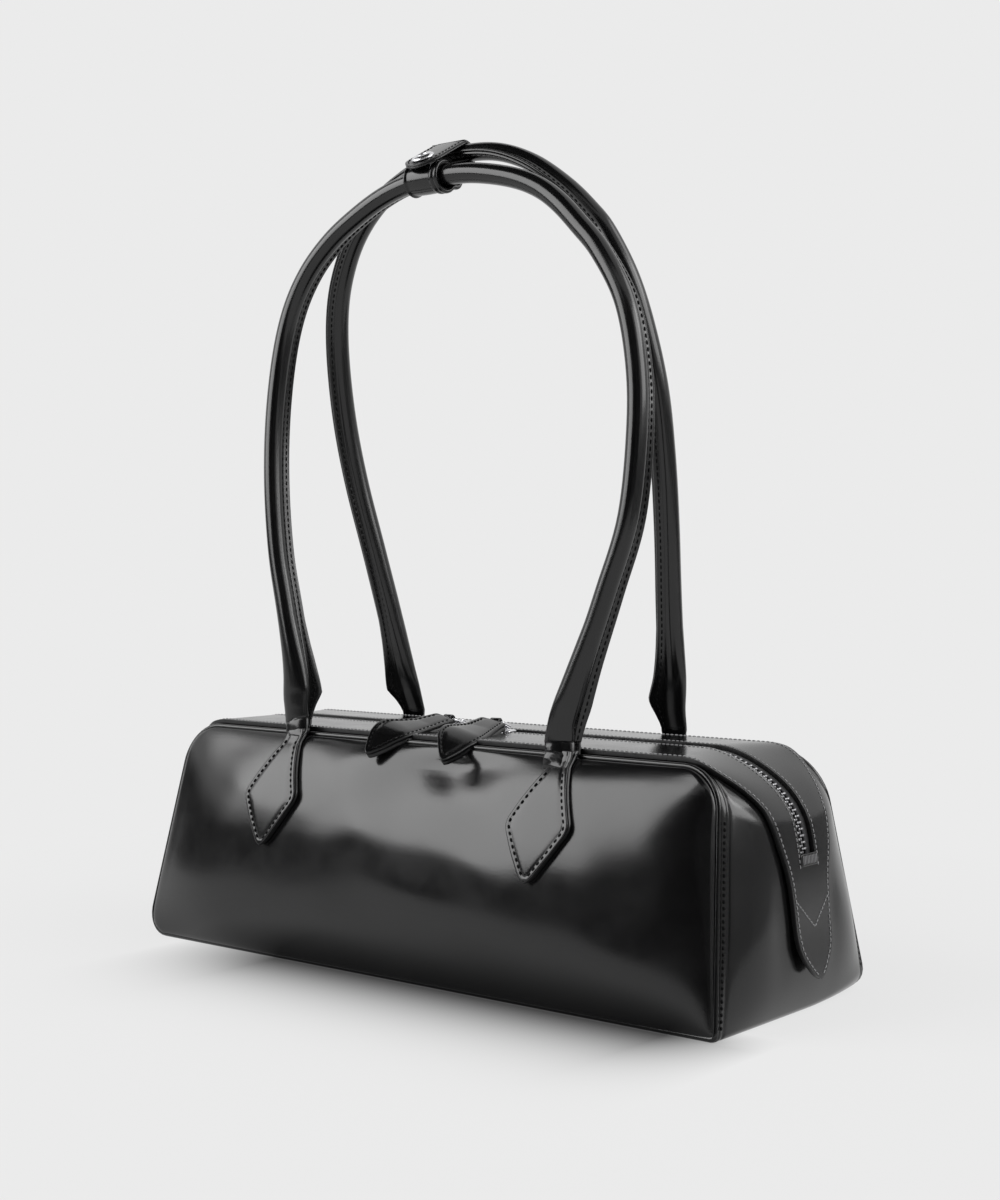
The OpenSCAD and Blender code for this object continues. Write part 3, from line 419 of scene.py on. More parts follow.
def frames_along(points, outs=None, loop=False):
    """Unit directions along a line, out of it and across it."""
    points = np.asarray(points, float)
    if loop:
        along = np.roll(points, -1, 0) - np.roll(points, 1, 0)
    else:
        along = np.gradient(points, axis=0)
    along = unit(along)
    if outs is None:
        outs = np.tile([0.0, 0.0, 1.0], (len(points), 1))
    outs = unit(outs - (outs * along).sum(-1, keepdims=True) * along)
    return along, outs, np.cross(along, outs)


def round_bar(points, radius, sides, outs=None, loop=False):
    """Round bar along a line."""
    along, out, across = frames_along(points, outs, loop)
    a = np.linspace(0, 2 * math.pi, sides, endpoint=False)
    rings = points[:, None] + radius * (
        out[:, None] * np.cos(a)[None, :, None] + across[:, None] * np.sin(a)[None, :, None]
    )
    return tube_mesh(rings, loop=loop)


def run_along(points):
    """Length of a line up to each of its points."""
    return np.concatenate([[0], np.cumsum(np.linalg.norm(np.diff(points, axis=0), axis=1))])


def read_along(at, run, values):
    """What a line's points or directions are at other places along it."""
    return np.stack([np.interp(at, run, column) for column in values.T], -1)


def spaced(points, outs, pitch):
    """Places at an even pitch along a line, with the directions there."""
    points, outs = np.asarray(points, float), np.asarray(outs, float)
    run = run_along(points)
    count = max(1, int(round(run[-1] / pitch)))
    at = (np.arange(count) + 0.5) * run[-1] / count
    out = unit(read_along(at, run, outs))
    along = unit(read_along(at + pitch / 4, run, points) - read_along(at - pitch / 4, run, points))
    out = unit(out - (out * along).sum(-1, keepdims=True) * along)
    return read_along(at, run, points), along, out, np.cross(along, out)


def copies(shape, sides, centres, *axes):
    """One small closed shape, made of rings with this many sides, at many places with three directions each."""
    verts = centres[:, None]
    for k, axis in enumerate(axes):
        verts = verts + axis[:, None] * shape[None, :, k:k + 1]
    per = len(shape)
    one = grid_quads(per // sides, sides, ring=True).tolist()
    one += [list(range(sides))[::-1], list(range(per - sides, per))]
    return verts.reshape(-1, 3), [[i + k * per for i in face] for k in range(len(centres)) for face in one]


# One stitch by rows: place along it as a share of its length; thickness and height as shares of the thread's.
STITCH = [(-0.5, 0.35, -0.42), (-0.38, 0.85, -0.08), (-0.12, 1.0, 0.1), (0.12, 1.0, 0.1), (0.38, 0.85, -0.08),
          (0.5, 0.35, -0.42)]


def stitch_run(points, outs, pitch=3.0 * MM, stitch=2.3 * MM, thick=0.72 * MM, lift=0.02 * MM):
    """A row of stitches: each is a short thread whose ends dive into the leather."""
    centres, along, out, across = spaced(points, outs, pitch)
    sides = 6
    turns = np.linspace(0, 2 * math.pi, sides, endpoint=False)
    shape = np.array([
        (s * stitch, r * thick / 2 * math.cos(a), r * thick / 2 * math.sin(a) + d * thick + lift)
        for s, r, d in STITCH for a in turns
    ])
    return copies(shape, sides, centres, along, across, out)


def soften(obj, width, segments):
    """Rounds a piece's sharp edges, in its own mesh."""
    soft = obj.modifiers.new("soft edges", "BEVEL")
    soft.width, soft.segments, soft.limit_method, soft.angle_limit = width, segments, "ANGLE", math.radians(50)
    depsgraph = bpy.context.evaluated_depsgraph_get()
    done = bpy.data.meshes.new_from_object(obj.evaluated_get(depsgraph))
    done.name = obj.name
    obj.modifiers.clear()
    obj.data = done


def dress(obj, body, nodes=()):
    """Sets a finished piece on its body, in place of its CAD nodes."""
    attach(obj, body)
    if nodes:
        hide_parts(*nodes)
    return obj


def leather(name, mesh, body, node, soft=None):
    """A cut piece of leather with painted edges, on its body and in place of its CAD node."""
    verts, faces, slots = mesh
    obj = piece(name, verts, faces, finish_of("leather"), finish_of("edge"), slots=slots)
    if soft:
        soften(obj, *soft)
    return dress(obj, body, [node])


def sew(name, runs, body="bag", finish="thread"):
    """One piece from rows of thread."""
    verts, faces, _ = join(runs)
    return dress(piece(name, verts, faces, finish_of(finish)), body)


def rounded(c, power):
    """Sine or cosine drawn out to the corners of a rounded box."""
    return np.sign(c) * np.abs(c) ** power


def lathe(walk, sides):
    """Rings of a piece that is turned round the x axis. walk gives the places along the axis and the radii."""
    a = np.linspace(0, 2 * math.pi, sides, endpoint=False)
    return np.array([np.stack([np.full(sides, x), r * np.cos(a), r * np.sin(a)], -1) for x, r in walk])


def hoop(half, flat, outer, inner, soft):
    """Band round the x axis: its half width, that of its flats, its two radii and its soft outer edges."""
    walk = [(-half, outer - soft), (-flat, outer), (flat, outer), (half, outer - soft)]
    walk += [(half, inner + 0.1 * MM), (flat, inner), (-flat, inner), (-half, inner + 0.1 * MM)]
    return tube_mesh(lathe(walk, 28), loop=True)


def ripple(x, z, seed, size, depth):
    """Slow, smooth unevenness over a surface: a few waves that don't repeat within the bag."""
    draw = np.random.default_rng(seed)
    total = 0 * x
    for _ in range(9):
        a, k = draw.uniform(0, math.pi), draw.uniform(0.6, 1.7) * 2 * math.pi / size
        total = total + np.sin(k * (x * math.cos(a) + z * math.sin(a)) + draw.uniform(0, 6.3))
    return total * depth / 3


# Finishes

def plug(tree, socket, value):
    """Links a wire to a socket, or sets the socket to a plain value."""
    if isinstance(value, Wire):
        tree.links.new(value.socket, socket)
    elif value is not None:
        socket.default_value = value


class Wire:
    """One output of a node. Sums written with it become Math nodes."""

    def __init__(self, tree, socket):
        self.tree, self.socket = tree, socket

    def maths(self, operation, *values):
        made = self.tree.nodes.new("ShaderNodeMath")
        made.operation = operation
        for socket, value in zip(made.inputs, values):
            plug(self.tree, socket, value)
        return Wire(self.tree, made.outputs[0])

    def __add__(self, other):
        return self.maths("ADD", self, other)

    __radd__ = __add__

    def __sub__(self, other):
        return self.maths("SUBTRACT", self, other)

    def __rsub__(self, other):
        return self.maths("SUBTRACT", other, self)

    def __mul__(self, other):
        return self.maths("MULTIPLY", self, other)

    __rmul__ = __mul__

    def __truediv__(self, other):
        return self.maths("DIVIDE", self, other)

    def __rtruediv__(self, other):
        return self.maths("DIVIDE", other, self)

    def __pow__(self, other):
        return self.maths("POWER", self, other)

    def wave(self):
        """Sine, brought between 0 and 1."""
        return self.maths("SINE", self) * 0.5 + 0.5

    def at_least(self, other):
        return self.maths("MAXIMUM", self, other)

    def exp(self):
        return self.maths("EXPONENT", self)

    def root(self):
        return self.maths("SQRT", self)


class Nodes:
    """Nodes of one tree that aren't Math nodes."""

    def __init__(self, tree):
        self.tree = tree

    def node(self, kind, settings=None, inputs=None, output=0):
        """Any other node: its type, its settings, then the values or wires of its sockets."""
        made = self.tree.nodes.new(kind)
        for name, value in (settings or {}).items():
            setattr(made, name, value)
        for name, value in (inputs or {}).items():
            plug(self.tree, made.inputs[name], value)
        return Wire(self.tree, made.outputs[output])

    def two_colours(self, share, first, second):
        return self.node(
            "ShaderNodeMix", {"data_type": "RGBA"}, {0: share, 6: (*first, 1), 7: (*second, 1)}, output=2
        )

    def rays(self, *kinds):
        """1 for rays of any of these kinds, such as those that the camera sees."""
        seen = [self.node("ShaderNodeLightPath", output="Is %s Ray" % kind) for kind in kinds]
        total = seen[0]
        for ray in seen[1:]:
            total = total.at_least(ray)
        return total


class Finish(Nodes):
    """One material: its shader's constants, and nodes for what varies over the surface."""

    def __init__(self, name, **constants):
        self.material = bpy.data.materials.new(name)
        self.material.use_nodes = True
        super().__init__(self.material.node_tree)
        self.shader = self.tree.nodes["Principled BSDF"]
        for socket, value in constants.items():
            self.shader.inputs[socket.replace("_", " ")].default_value = value

    def place(self):
        return self.node("ShaderNodeTexCoord", output="Object")

    def axes(self):
        """The place's x, y and z, each as a wire."""
        split = self.node("ShaderNodeSeparateXYZ", inputs={0: self.place()}).socket.node
        return [Wire(self.tree, socket) for socket in split.outputs]

    def noise(self, scale, detail=2.0, rough=0.5, distortion=0.0):
        return self.node(
            "ShaderNodeTexNoise",
            inputs={
                "Vector": self.place(), "Scale": scale, "Detail": detail, "Roughness": rough,
                "Distortion": distortion,
            },
        )

    def cells(self, scale):
        inputs = {"Vector": self.place(), "Scale": scale}
        return self.node("ShaderNodeTexVoronoi", inputs=inputs, output="Distance")

    def ranged(self, value, low, high, to_low=0.0, to_high=1.0):
        return self.node(
            "ShaderNodeMapRange", {"clamp": True},
            {"Value": value, "From Min": low, "From Max": high, "To Min": to_low, "To Max": to_high},
        )

    def shades(self, share, tint, dark, light):
        """A colour that runs from dark to light times its own value as share goes from 0 to 1."""
        return self.two_colours(share, *(tuple(min(1.0, c * k) for c in tint) for k in (dark, light)))

    def bump(self, height, strength, depth, under=None):
        return self.node(
            "ShaderNodeBump",
            inputs={"Strength": strength, "Distance": depth, "Height": height, "Normal": under},
        )

    def feed(self, **wires):
        for socket, value in wires.items():
            plug(self.tree, self.shader.inputs[socket.replace("_", " ")], value)
        return self.material


def polished_leather(looks):
    """Smooth box calf: close pores, and a colour and polish that vary slowly."""
    f = Finish("polished_leather", IOR=1.5)
    slow, fine = f.noise(28, 3), f.noise(900, 4, 0.6)
    pores = f.cells(1500)
    return f.feed(
        Base_Color=f.shades(f.ranged(slow, 0.35, 0.7), looks.leather, 0.85, 1.25),
        Roughness=f.ranged(f.noise(60, 4, 0.6), 0.3, 0.7, looks.gloss - 0.02, looks.gloss + 0.035),
        Normal=f.bump(pores, 0.10, 0.00006, f.bump(fine, 0.16, 0.00008)),
    )


def edge_paint(looks):
    """Painted edge: smooth, glossier than the leather, with faint brush lines."""
    f = Finish("painted_edge", IOR=1.5)
    brushed = f.noise(300, 3, 0.6)
    return f.feed(
        Base_Color=f.shades(brushed, looks.edge_paint, 0.8, 1.3),
        Roughness=f.ranged(brushed, 0.3, 0.7, 0.26, 0.4),
        Normal=f.bump(brushed, 0.2, 0.0001),
    )


def sewing_thread(name, tint, rough=0.6, shine=0.12):
    """Bonded thread with its twist."""
    f = Finish(name, IOR=1.5, Specular_IOR_Level=shine)
    x, _, z = f.axes()
    twist = ((x + z) * 14000).wave()
    return f.feed(
        Base_Color=f.shades(twist, tint, 0.7, 1.4),
        Roughness=f.ranged(twist, 0, 1, rough - 0.05, rough + 0.1),
        Normal=f.bump(twist, 0.3, 0.00005),
    )


def woven_tape(looks):
    """Zip tape: a close herringbone weave."""
    f = Finish("woven_zip_tape", IOR=1.45, Sheen_Weight=0.3, Sheen_Roughness=0.5)
    x, y, z = f.axes()
    weft, warp = ((x + z) * 9000).wave(), (y * 9000).wave()
    weave = weft * (1 - warp) + (1 - weft) * warp
    return f.feed(
        Base_Color=f.shades(weave, looks.tape, 0.6, 1.7),
        Roughness=f.ranged(weave, 0, 1, 0.7, 0.9),
        Normal=f.bump(weave, 0.6, 0.0001),
    )


def zip_metal(looks, name="silver_metal", bright=1.0, rough=0.14):
    """Polished nickel with fine scratches and a faint, patchy dullness."""
    f = Finish(name, Metallic=1.0)
    scratch = f.noise(700, 4, 0.65, distortion=0.5)
    dull = f.noise(150, 2)
    return f.feed(
        Base_Color=f.shades(f.ranged(dull, 0.35, 0.7), looks.metal, 0.85 * bright, bright),
        Roughness=f.ranged(scratch, 0.3, 0.7, rough, rough * 2),
        Normal=f.bump(scratch, 0.12, 0.00005),
    )


def lining_weave(looks):
    """Lining cloth: a fine twill."""
    f = Finish("lining_twill", IOR=1.45, Sheen_Weight=0.2)
    x, y, z = f.axes()
    twill = ((x + y + z * 2) * 6000).wave()
    faded = f.noise(40, 3)
    return f.feed(
        Base_Color=f.shades(twill * 0.7 + faded * 0.3, looks.cloth, 0.7, 1.4),
        Roughness=f.ranged(faded, 0.3, 0.7, 0.7, 0.85),
        Normal=f.bump(twill, 0.4, 0.0001),
    )


def pressed_board(looks):
    """Grey-brown board with pressed fibres."""
    f = Finish("pressed_board", IOR=1.45)
    fibre, cloud = f.noise(420, 5, 0.7, distortion=1.2), f.noise(30, 3)
    return f.feed(
        Base_Color=f.shades(fibre * 0.6 + cloud * 0.4, looks.board, 0.7, 1.25),
        Roughness=f.ranged(fibre, 0.3, 0.7, 0.75, 0.92),
        Normal=f.bump(fibre, 0.35, 0.0002),
    )


def twisted_core(looks):
    """Cotton cord in the handles, with its strands."""
    f = Finish("cotton_core", IOR=1.45, Sheen_Weight=0.3)
    x, y, z = f.axes()
    strand = ((x + y * 2 + z) * 1900).wave()
    fluff = f.noise(900, 4, 0.7)
    return f.feed(
        Base_Color=f.shades(strand * 0.7 + fluff * 0.3, looks.core, 0.7, 1.05),
        Roughness=f.ranged(fluff, 0.3, 0.7, 0.8, 0.95),
        Normal=f.bump(strand, 0.7, 0.0004),
    )


FINISHES = {}


def finish_of(name):
    """Each finish is made once, from the colours in the panel."""
    looks = bpy.context.scene.bag_looks
    makers = {
        "leather": lambda: polished_leather(looks),
        "edge": lambda: edge_paint(looks),
        "thread": lambda: sewing_thread("black_thread", looks.thread),
        "strip_thread": lambda: sewing_thread("strip_thread", looks.strip_thread, 0.5, 0.4),
        "tape": lambda: woven_tape(looks),
        "metal": lambda: zip_metal(looks),
        "teeth": lambda: zip_metal(looks, "teeth_metal", 0.42, 0.26),
        "lining": lambda: lining_weave(looks),
        "board": lambda: pressed_board(looks),
        "core": lambda: twisted_core(looks),
    }
    if name not in FINISHES:
        FINISHES[name] = makers[name]()
    return FINISHES[name]


# Body of the bag

def levels(form, inset, low=9, middle=26, high=12):
    """Heights of a panel's rows, close together round the corners."""
    a, b = inset + FOOT_R, form.seam_h - inset - TOP_R
    return np.concatenate([
        inset + FOOT_R * (1 - np.cos(np.linspace(0, math.pi / 2, low))),
        np.linspace(a, b, middle)[1:-1],
        form.seam_h - inset - TOP_R * (1 - np.cos(np.linspace(math.pi / 2, 0, high))),
    ])


def make_panel(form, side):
    """Front (-1) or back (1) panel: one swelling sheet that rolls into the piping all round."""
    share = 0.0 if side < 0 else 1.0
    zs = levels(form, form.inset)
    cols = 110
    left = -form.edge_x(zs, -1, share, form.inset)
    right = form.edge_x(zs, 1, share, form.inset)
    t = np.linspace(0, 1, cols)
    t = mix(t, (1 - np.cos(math.pi * t)) / 2, 0.45)
    x = mix(left[:, None], right[:, None], t[None])
    z = np.repeat(zs[:, None], cols, 1)
    y = form.panel_y(x, z, side)
    near = np.minimum.reduce([
        x - left[:, None], right[:, None] - x, z - form.inset, form.seam_h - form.inset - z
    ])
    groove = 0.45 * MM * np.exp(-np.maximum(near, 0) / (0.8 * MM))
    seed = 11 if side < 0 else 12
    y = y - groove + ripple(x, z, seed, 0.05, 0.10 * MM * form.b.grain) * clamp(near / (14 * MM))
    outer = np.stack([x, side * y, z], -1)
    inner = np.stack([x, side * (y - form.b.leather), z], -1)
    name = SIDES[side] + "_panel"
    leather(name + "_leather", sheet_mesh(outer, inner), "bag", name)


def panel_outline(form, side, inset):
    """Closed line round a panel, drawn in by inset, as points in the panel's plane."""
    share = 0.0 if side < 0 else 1.0
    zs = levels(form, inset, 10, 30, 14)
    right = np.stack([form.edge_x(zs, 1, share, inset), zs], -1)
    left = np.stack([-form.edge_x(zs, -1, share, inset), zs], -1)
    foot = np.linspace(left[0], right[0], 60)[1:-1]
    top = np.linspace(right[-1], left[-1], 60)[1:-1]
    return np.concatenate([foot, right, top, left[::-1]])


def make_piping(form, side):
    """Bead of piping: leather rolled round a cord, with its seam allowance tucked in."""
    r = form.b.bead / 2
    line = panel_outline(form, side, r)
    y = side * (form.half_dep(line[:, 1]) - r)
    points = np.stack([line[:, 0], y, line[:, 1]], -1)
    outs = np.tile([0.0, side, 0.0], (len(points), 1))
    verts, faces = round_bar(points, r, 14, outs, loop=True)
    name = "piping_" + SIDES[side]
    dress(piece(name + "_bead", verts, faces, finish_of("leather")), "bag", [name])


def end_grid(form, end, thick):
    """Grid of a gusset's surface, from the seam in the base round the foot and up under the strip."""
    near = 1 - np.array([0, 0.35, 0.7, 1.1, 1.6, 2.1, 2.6, 3.0, 3.4, 3.8, 4.3, 5.0, 6.0]) / 50
    t = np.concatenate([-near, np.linspace(-0.85, 0.85, 29), near[::-1]])
    share = (t + 1) / 2
    base_x = form.b.foot_len / 2 - BASE_SEAM + LAY
    foot = form.foot_r(end, share) + 0 * t
    top = form.top_r(end, share) + 0 * t
    rows = []
    for k in np.linspace(0, 1, 16)[:-1]:
        x = mix(base_x, form.half_len(0.0) - foot, k)
        rows.append((x, 0 * t, 0 * t, 1 + 0 * t))
    for k in np.linspace(0, 1, 12)[:-1]:
        a = math.pi / 2 * k
        z = foot * (1 - math.cos(a))
        x = form.half_len(z) - foot * (1 - math.sin(a))
        rows.append((x, z, math.sin(a) + 0 * t, math.cos(a) + 0 * t))
    for k in np.linspace(0, 1, 34):
        z = mix(foot, form.seam_h - top, k)
        rows.append((form.half_len(z), z, 1 + 0 * t, 0 * t))
    turned = []
    for k in np.linspace(0, 0.98, 16)[1:]:
        a = math.pi / 2 * k
        z = form.seam_h - top + top * math.sin(a)
        turned.append((form.half_len(z) - top * (1 - math.cos(a)), z, math.cos(a), math.sin(a)))
    made = []
    for x, z, dx, dz in rows:
        y = t * (form.half_dep(z) - form.inset)
        rim = gusset_rim(form, y, z) * dx
        rough = ripple(y, z, 21 if end > 0 else 22, 0.05, 0.25 * MM * form.b.grain) * clamp((1 - np.abs(t)) * 4)
        out = form.end_out(y, z) - gusset_hollow(y, z) - rim + rough * clamp(z / (20 * MM)) - thick * dx
        made.append(np.stack([end * (x + out), y, z + thick * dz], -1))
    for x, z, dx, dz in turned:
        y = t * (form.half_dep(z) - form.inset)
        lift = form.strip_lift(y, z, dx) - 0.55 * MM - gusset_rim(form, y, z) * dx - thick
        made.append(np.stack([end * (x + dx * lift), y, z + dz * lift], -1))
    return np.array(made)


def gusset_rim(form, y, z):
    """The sewn edge of an end: a flat band under its stitches, then a shallow valley."""
    inward = np.maximum(form.half_dep(z) - form.inset - np.abs(y), 0) / MM
    return (0.2 * np.exp(-inward / 0.4) + 0.5 * np.exp(-((inward - 2.7) / 0.8) ** 2)) * MM


def gusset_hollow(y, z):
    """Soft hollows in an end: beside the strip's tongue, and a slack fold below the top corner."""
    y, z = np.abs(y) / MM, z / MM
    beside = 1.0 * np.exp(-((y - 21) / 7) ** 2 - ((z - 45) / 22) ** 2)
    slack = 0.9 * np.exp(-((y - 34) / 10) ** 2 - ((z - 62) / 20) ** 2)
    return (beside + slack) * MM


def make_gusset(form, end):
    """End gusset, open under the zip."""
    outer, inner = end_grid(form, end, 0.0), end_grid(form, end, form.b.leather)
    opening = TAPE_REACH + 2 * LAY
    y, z = outer[..., 1], outer[..., 2]
    mid_y = (y[:-1, :-1] + y[1:, 1:]) / 2
    mid_z = (z[:-1, :-1] + z[1:, 1:]) / 2
    keep = ~((np.abs(mid_y) < opening) & (mid_z > form.z.slot_end - 5.3 * MM))
    name = ENDS[end] + "_gusset"
    leather(name + "_leather", sheet_mesh(outer, inner, keep), "bag", name)


def gusset_stitches(form, end):
    """Rows of thread beside the piping on an end, from the foot up to the strip."""
    runs = []
    for side in (-1, 1):
        share = 0.5 + side * 0.44
        foot, top = float(form.foot_r(end, share)), float(form.top_r(end, share))
        zs = np.linspace(foot + MM, form.seam_h - top - MM, 60)
        y = side * (form.half_dep(zs) - form.inset - 1.1 * MM)
        x = form.half_len(zs) + form.end_out(y, zs) - gusset_hollow(y, zs) - gusset_rim(form, y, zs)
        runs.append(stitch_run(
            np.stack([end * x, y, zs], -1), np.tile([end, side * 0.7, 0.0], (len(zs), 1)), pitch=2.6 * MM,
            stitch=1.7 * MM, thick=1.15 * MM if side < 0 else 0.6 * MM, lift=0.0 if side < 0 else -0.12 * MM,
        ))
    sew("stitches_%s_gusset" % ENDS[end], runs)


def make_base(form):
    """Base panel with rounded edges, its two cross seams and their thread."""
    reach = form.b.foot_len / 2 - BASE_SEAM - LAY
    wide = form.b.foot_dep / 2 - form.inset

    def places(half, near, count):
        middle = np.linspace(-half + 3 * MM, half - 3 * MM, count)
        return np.concatenate([[-half, -half + near], middle, [half - near, half]])

    x, y = np.meshgrid(places(reach, 0.6 * MM, 50), places(wide, 0.8 * MM, 24), indexing="ij")
    edge = np.minimum(reach - np.abs(x), wide - np.abs(y))
    low = 0.5 * MM * np.exp(-edge / (0.7 * MM)) + 0.05 * MM * (1 + np.sin(x * 90) * np.cos(y * 70))
    outer = np.stack([x, y, low], -1)
    inner = np.stack([x, y, form.b.leather - 0 * low], -1)
    leather("base_leather", sheet_mesh(outer, inner), "bag", "base_panel")
    runs = []
    for end in (-1, 1):
        x, y, z = end * (reach - 2.2 * MM), wide - 3 * MM, 0.12 * MM
        line = np.linspace([x, -y, z], [x, y, z], 40)
        runs.append(stitch_run(line, np.tile([0.0, 0.0, -1.0], (40, 1)), thick=0.45 * MM, lift=-0.12 * MM))
    sew("stitches_base", runs)


def make_lining(form):
    """Lining tray of soft cloth: its walls billow a little and its hem is turned over."""
    low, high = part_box("lining")
    a = np.linspace(0, 2 * math.pi, 120, endpoint=False)
    ring_x, ring_y = rounded(np.cos(a), 0.16), rounded(np.sin(a), 0.16)
    clear = 14 * MM

    def ring(level, draw, offset):
        """One ring of the lining: level from its floor to its hem, draw for its folds, offset inward."""
        z = mix(low.z, high.z, level)
        half_x = mix(high.x, form.half_len(high.z) - clear, level) - offset
        half_y = mix(high.y, form.half_dep(high.z) - clear, level) - offset
        folds = 1 - draw * (0.5 + 0.5 * np.sin(a * 17 + 3 * level)) * math.sin(math.pi * min(1, level))
        return np.stack([ring_x * half_x * folds, ring_y * half_y * folds, z + 0 * a], -1)

    skin = [ring(0, 0, half) for half in (0.03, 0.018, 0.008)]
    skin += [ring(t, 0.02, 0.0) for t in np.linspace(0, 1, 16)]
    skin += [ring(t, 0.02, 0.8 * MM) for t in np.linspace(1, 0.012, 16)]
    skin += [ring(0.012, 0, half) for half in (0.008, 0.018, 0.03)]
    verts, faces = tube_mesh(skin)
    obj = piece("lining_tray", verts, faces, finish_of("lining"))
    dress(obj, "bag", ["lining"])


# Zip

TAPE_REACH, TAPE_T = 13 * MM, 0.7 * MM
# Heights at which the strip's tip and the thread round it start.
STRIP_TIP, THREAD_TIP = 16.35 * MM, 18.3 * MM


def tape_top(form):
    """Height of the tape's upper face over the strip's underside."""
    return -LAY - form.b.end_puff * (TAPE_REACH / (form.b.top_dep / 2)) ** END_POWERS[0]


def strip_across(form):
    """Places across the strip for a half width: two halves with the slot between them."""
    cols = 15
    edge = np.array([0.0, 0.5, 1.1, 1.6, 2.0, 2.4, 3.0]) * MM

    def across(half):
        slot = min(form.z.slot_w / 2, 0.36 * half)
        near = edge * min(1.0, (half - slot) / (7 * MM))
        rest = np.linspace(near[-1], half - slot, cols - len(edge) + 1)[1:]
        side = np.concatenate([near, rest])
        return np.concatenate([-half + side, (half - side)[::-1]])

    return across


def make_strip(form):
    """Leather strip that holds the zip: over the top and down both ends to a pointed tip, with its slot."""
    rows = form.strip_rows(STRIP_TIP, bend=20)
    across = strip_across(form)
    top = form.strip_place(rows, across, form.z.strip_t)
    under = form.strip_place(rows, across, 0.0)
    cols = top.shape[1]
    keep = np.ones((top.shape[0] - 1, cols - 1), bool)
    z = (top[:-1, cols // 2, 2] + top[1:, cols // 2, 2]) / 2
    keep[z > form.z.slot_end + 1.4 * MM, cols // 2 - 1] = False
    leather("zip_strip_leather", sheet_mesh(top, under, keep), "bag", "zip_strip", soft=(0.45 * MM, 3))


def strip_line(form, across, low_z, **rows):
    """A line along the strip's upper face, with the directions out of it."""
    rows = form.strip_rows(low_z, **rows)
    line = form.strip_place(rows, across, form.z.strip_t)[:, 0]
    above = form.strip_place(rows, across, form.z.strip_t + MM)[:, 0]
    return line, unit(above - line)


def make_strip_stitches(form):
    """Rows of thread along the strip's edges and beside its slot, and the points below the slot."""
    runs = []

    def by_edge(h):
        return np.array([side * max(h - 1.9 * MM, 0.2 * MM)])

    def by_slot(h):
        return np.array([side * (form.z.slot_w / 2 + 1.7 * MM)])

    for side in (-1, 1):
        line, out = strip_line(form, by_edge, THREAD_TIP, bend=20)
        runs.append(stitch_run(line, out, pitch=2.4 * MM, stitch=2.0 * MM, thick=0.6 * MM))
        line, out = strip_line(form, by_slot, form.z.slot_end - 1.5 * MM)
        runs.append(stitch_run(line, out, pitch=2.2 * MM, stitch=1.8 * MM, thick=0.55 * MM))
        for end in (-1, 1):
            t = np.linspace(0, 1, 12)
            y, z = side * 12.6 * MM * (1 - t), mix(49.0, 37.5, t) * MM
            lift = form.strip_lift(y, z, 1.0) + form.z.strip_t
            line = np.stack([end * (form.half_len(z) + lift), y, z], -1)
            runs.append(stitch_run(
                line, np.tile([end, 0.0, 0.1], (12, 1)), pitch=2.2 * MM, stitch=1.8 * MM, thick=0.6 * MM))
    # Bar tacks across the patches at the slot's ends.
    z = form.z.slot_end + np.linspace(0.2, 3.7, 4) * MM
    for end in (-1, 1):
        for y in np.linspace(-5.2, 5.2, 10) * MM:
            over = form.strip_lift(0 * z, z, 1.0) + form.z.strip_t + 0.62 * MM
            tack = np.stack([end * (form.half_len(z) + over), y + (z - z[0]) * 0.12, z], -1)
            runs.append(round_bar(tack, 0.22 * MM, 6))
    sew("stitches_strip", runs, finish="strip_thread")


def make_patch(form, end):
    """Small leather patch over an end of the slot, with rounded corners. Its bar tacks are sewn with the strip's
    thread.
    """
    half_w, half_l, t = 6.8 * MM, 2.5 * MM, 0.55 * MM
    mid = form.z.slot_end + 1.9 * MM

    def grid_at(inset, level):
        v = np.linspace(-1, 1, 13)[:, None] * (half_l - inset) + np.zeros((1, 17))
        u = np.linspace(-1, 1, 17)[None, :] * (half_w - inset - 0.9 * MM * (np.abs(v) / half_l) ** 6)
        z = mid + v
        lift = form.strip_lift(0 * u, z, 1.0) + form.z.strip_t + 0.1 * MM + level
        return np.stack([end * (form.half_len(z) + lift), u, z], -1)

    profile = [(0.3 * MM, 0), (0, 0.12 * MM), (0, 0.36 * MM), (0.1 * MM, 0.48 * MM), (0.35 * MM, t)]
    name = "slot_patch_" + ENDS[end]
    leather(name + "_leather", slab(grid_at, profile), "bag", name)


def slab(grid_at, profile):
    """Thick piece of leather: grid_at(inset, level) gives its face, and profile the shape of its edge."""
    under, top = grid_at(*profile[0]), grid_at(*profile[-1])
    rows, cols = top.shape[:2]
    rim = (
        [(0, c) for c in range(cols - 1)] + [(r, cols - 1) for r in range(rows - 1)]
        + [(rows - 1, c) for c in range(cols - 1, 0, -1)] + [(r, 0) for r in range(rows - 1, 0, -1)]
    )
    at = np.array([r * cols + c for r, c in rim])
    count, around = rows * cols, len(rim)
    verts = [under.reshape(-1, 3), top.reshape(-1, 3)]
    rings, start = [at], 2 * count
    for inset, level in profile[1:-1]:
        verts.append(grid_at(inset, level).reshape(-1, 3)[at])
        rings.append(np.arange(around) + start)
        start += around
    rings.append(at + count)
    quads = grid_quads(rows, cols)
    faces = quads[:, ::-1].tolist() + (quads + count).tolist()
    broad = len(faces)
    for low, high in zip(rings[:-1], rings[1:]):
        faces += np.stack([low, np.roll(low, -1), np.roll(high, -1), high], -1).tolist()
    return np.concatenate(verts), faces, [0] * broad + [1] * (len(faces) - broad)


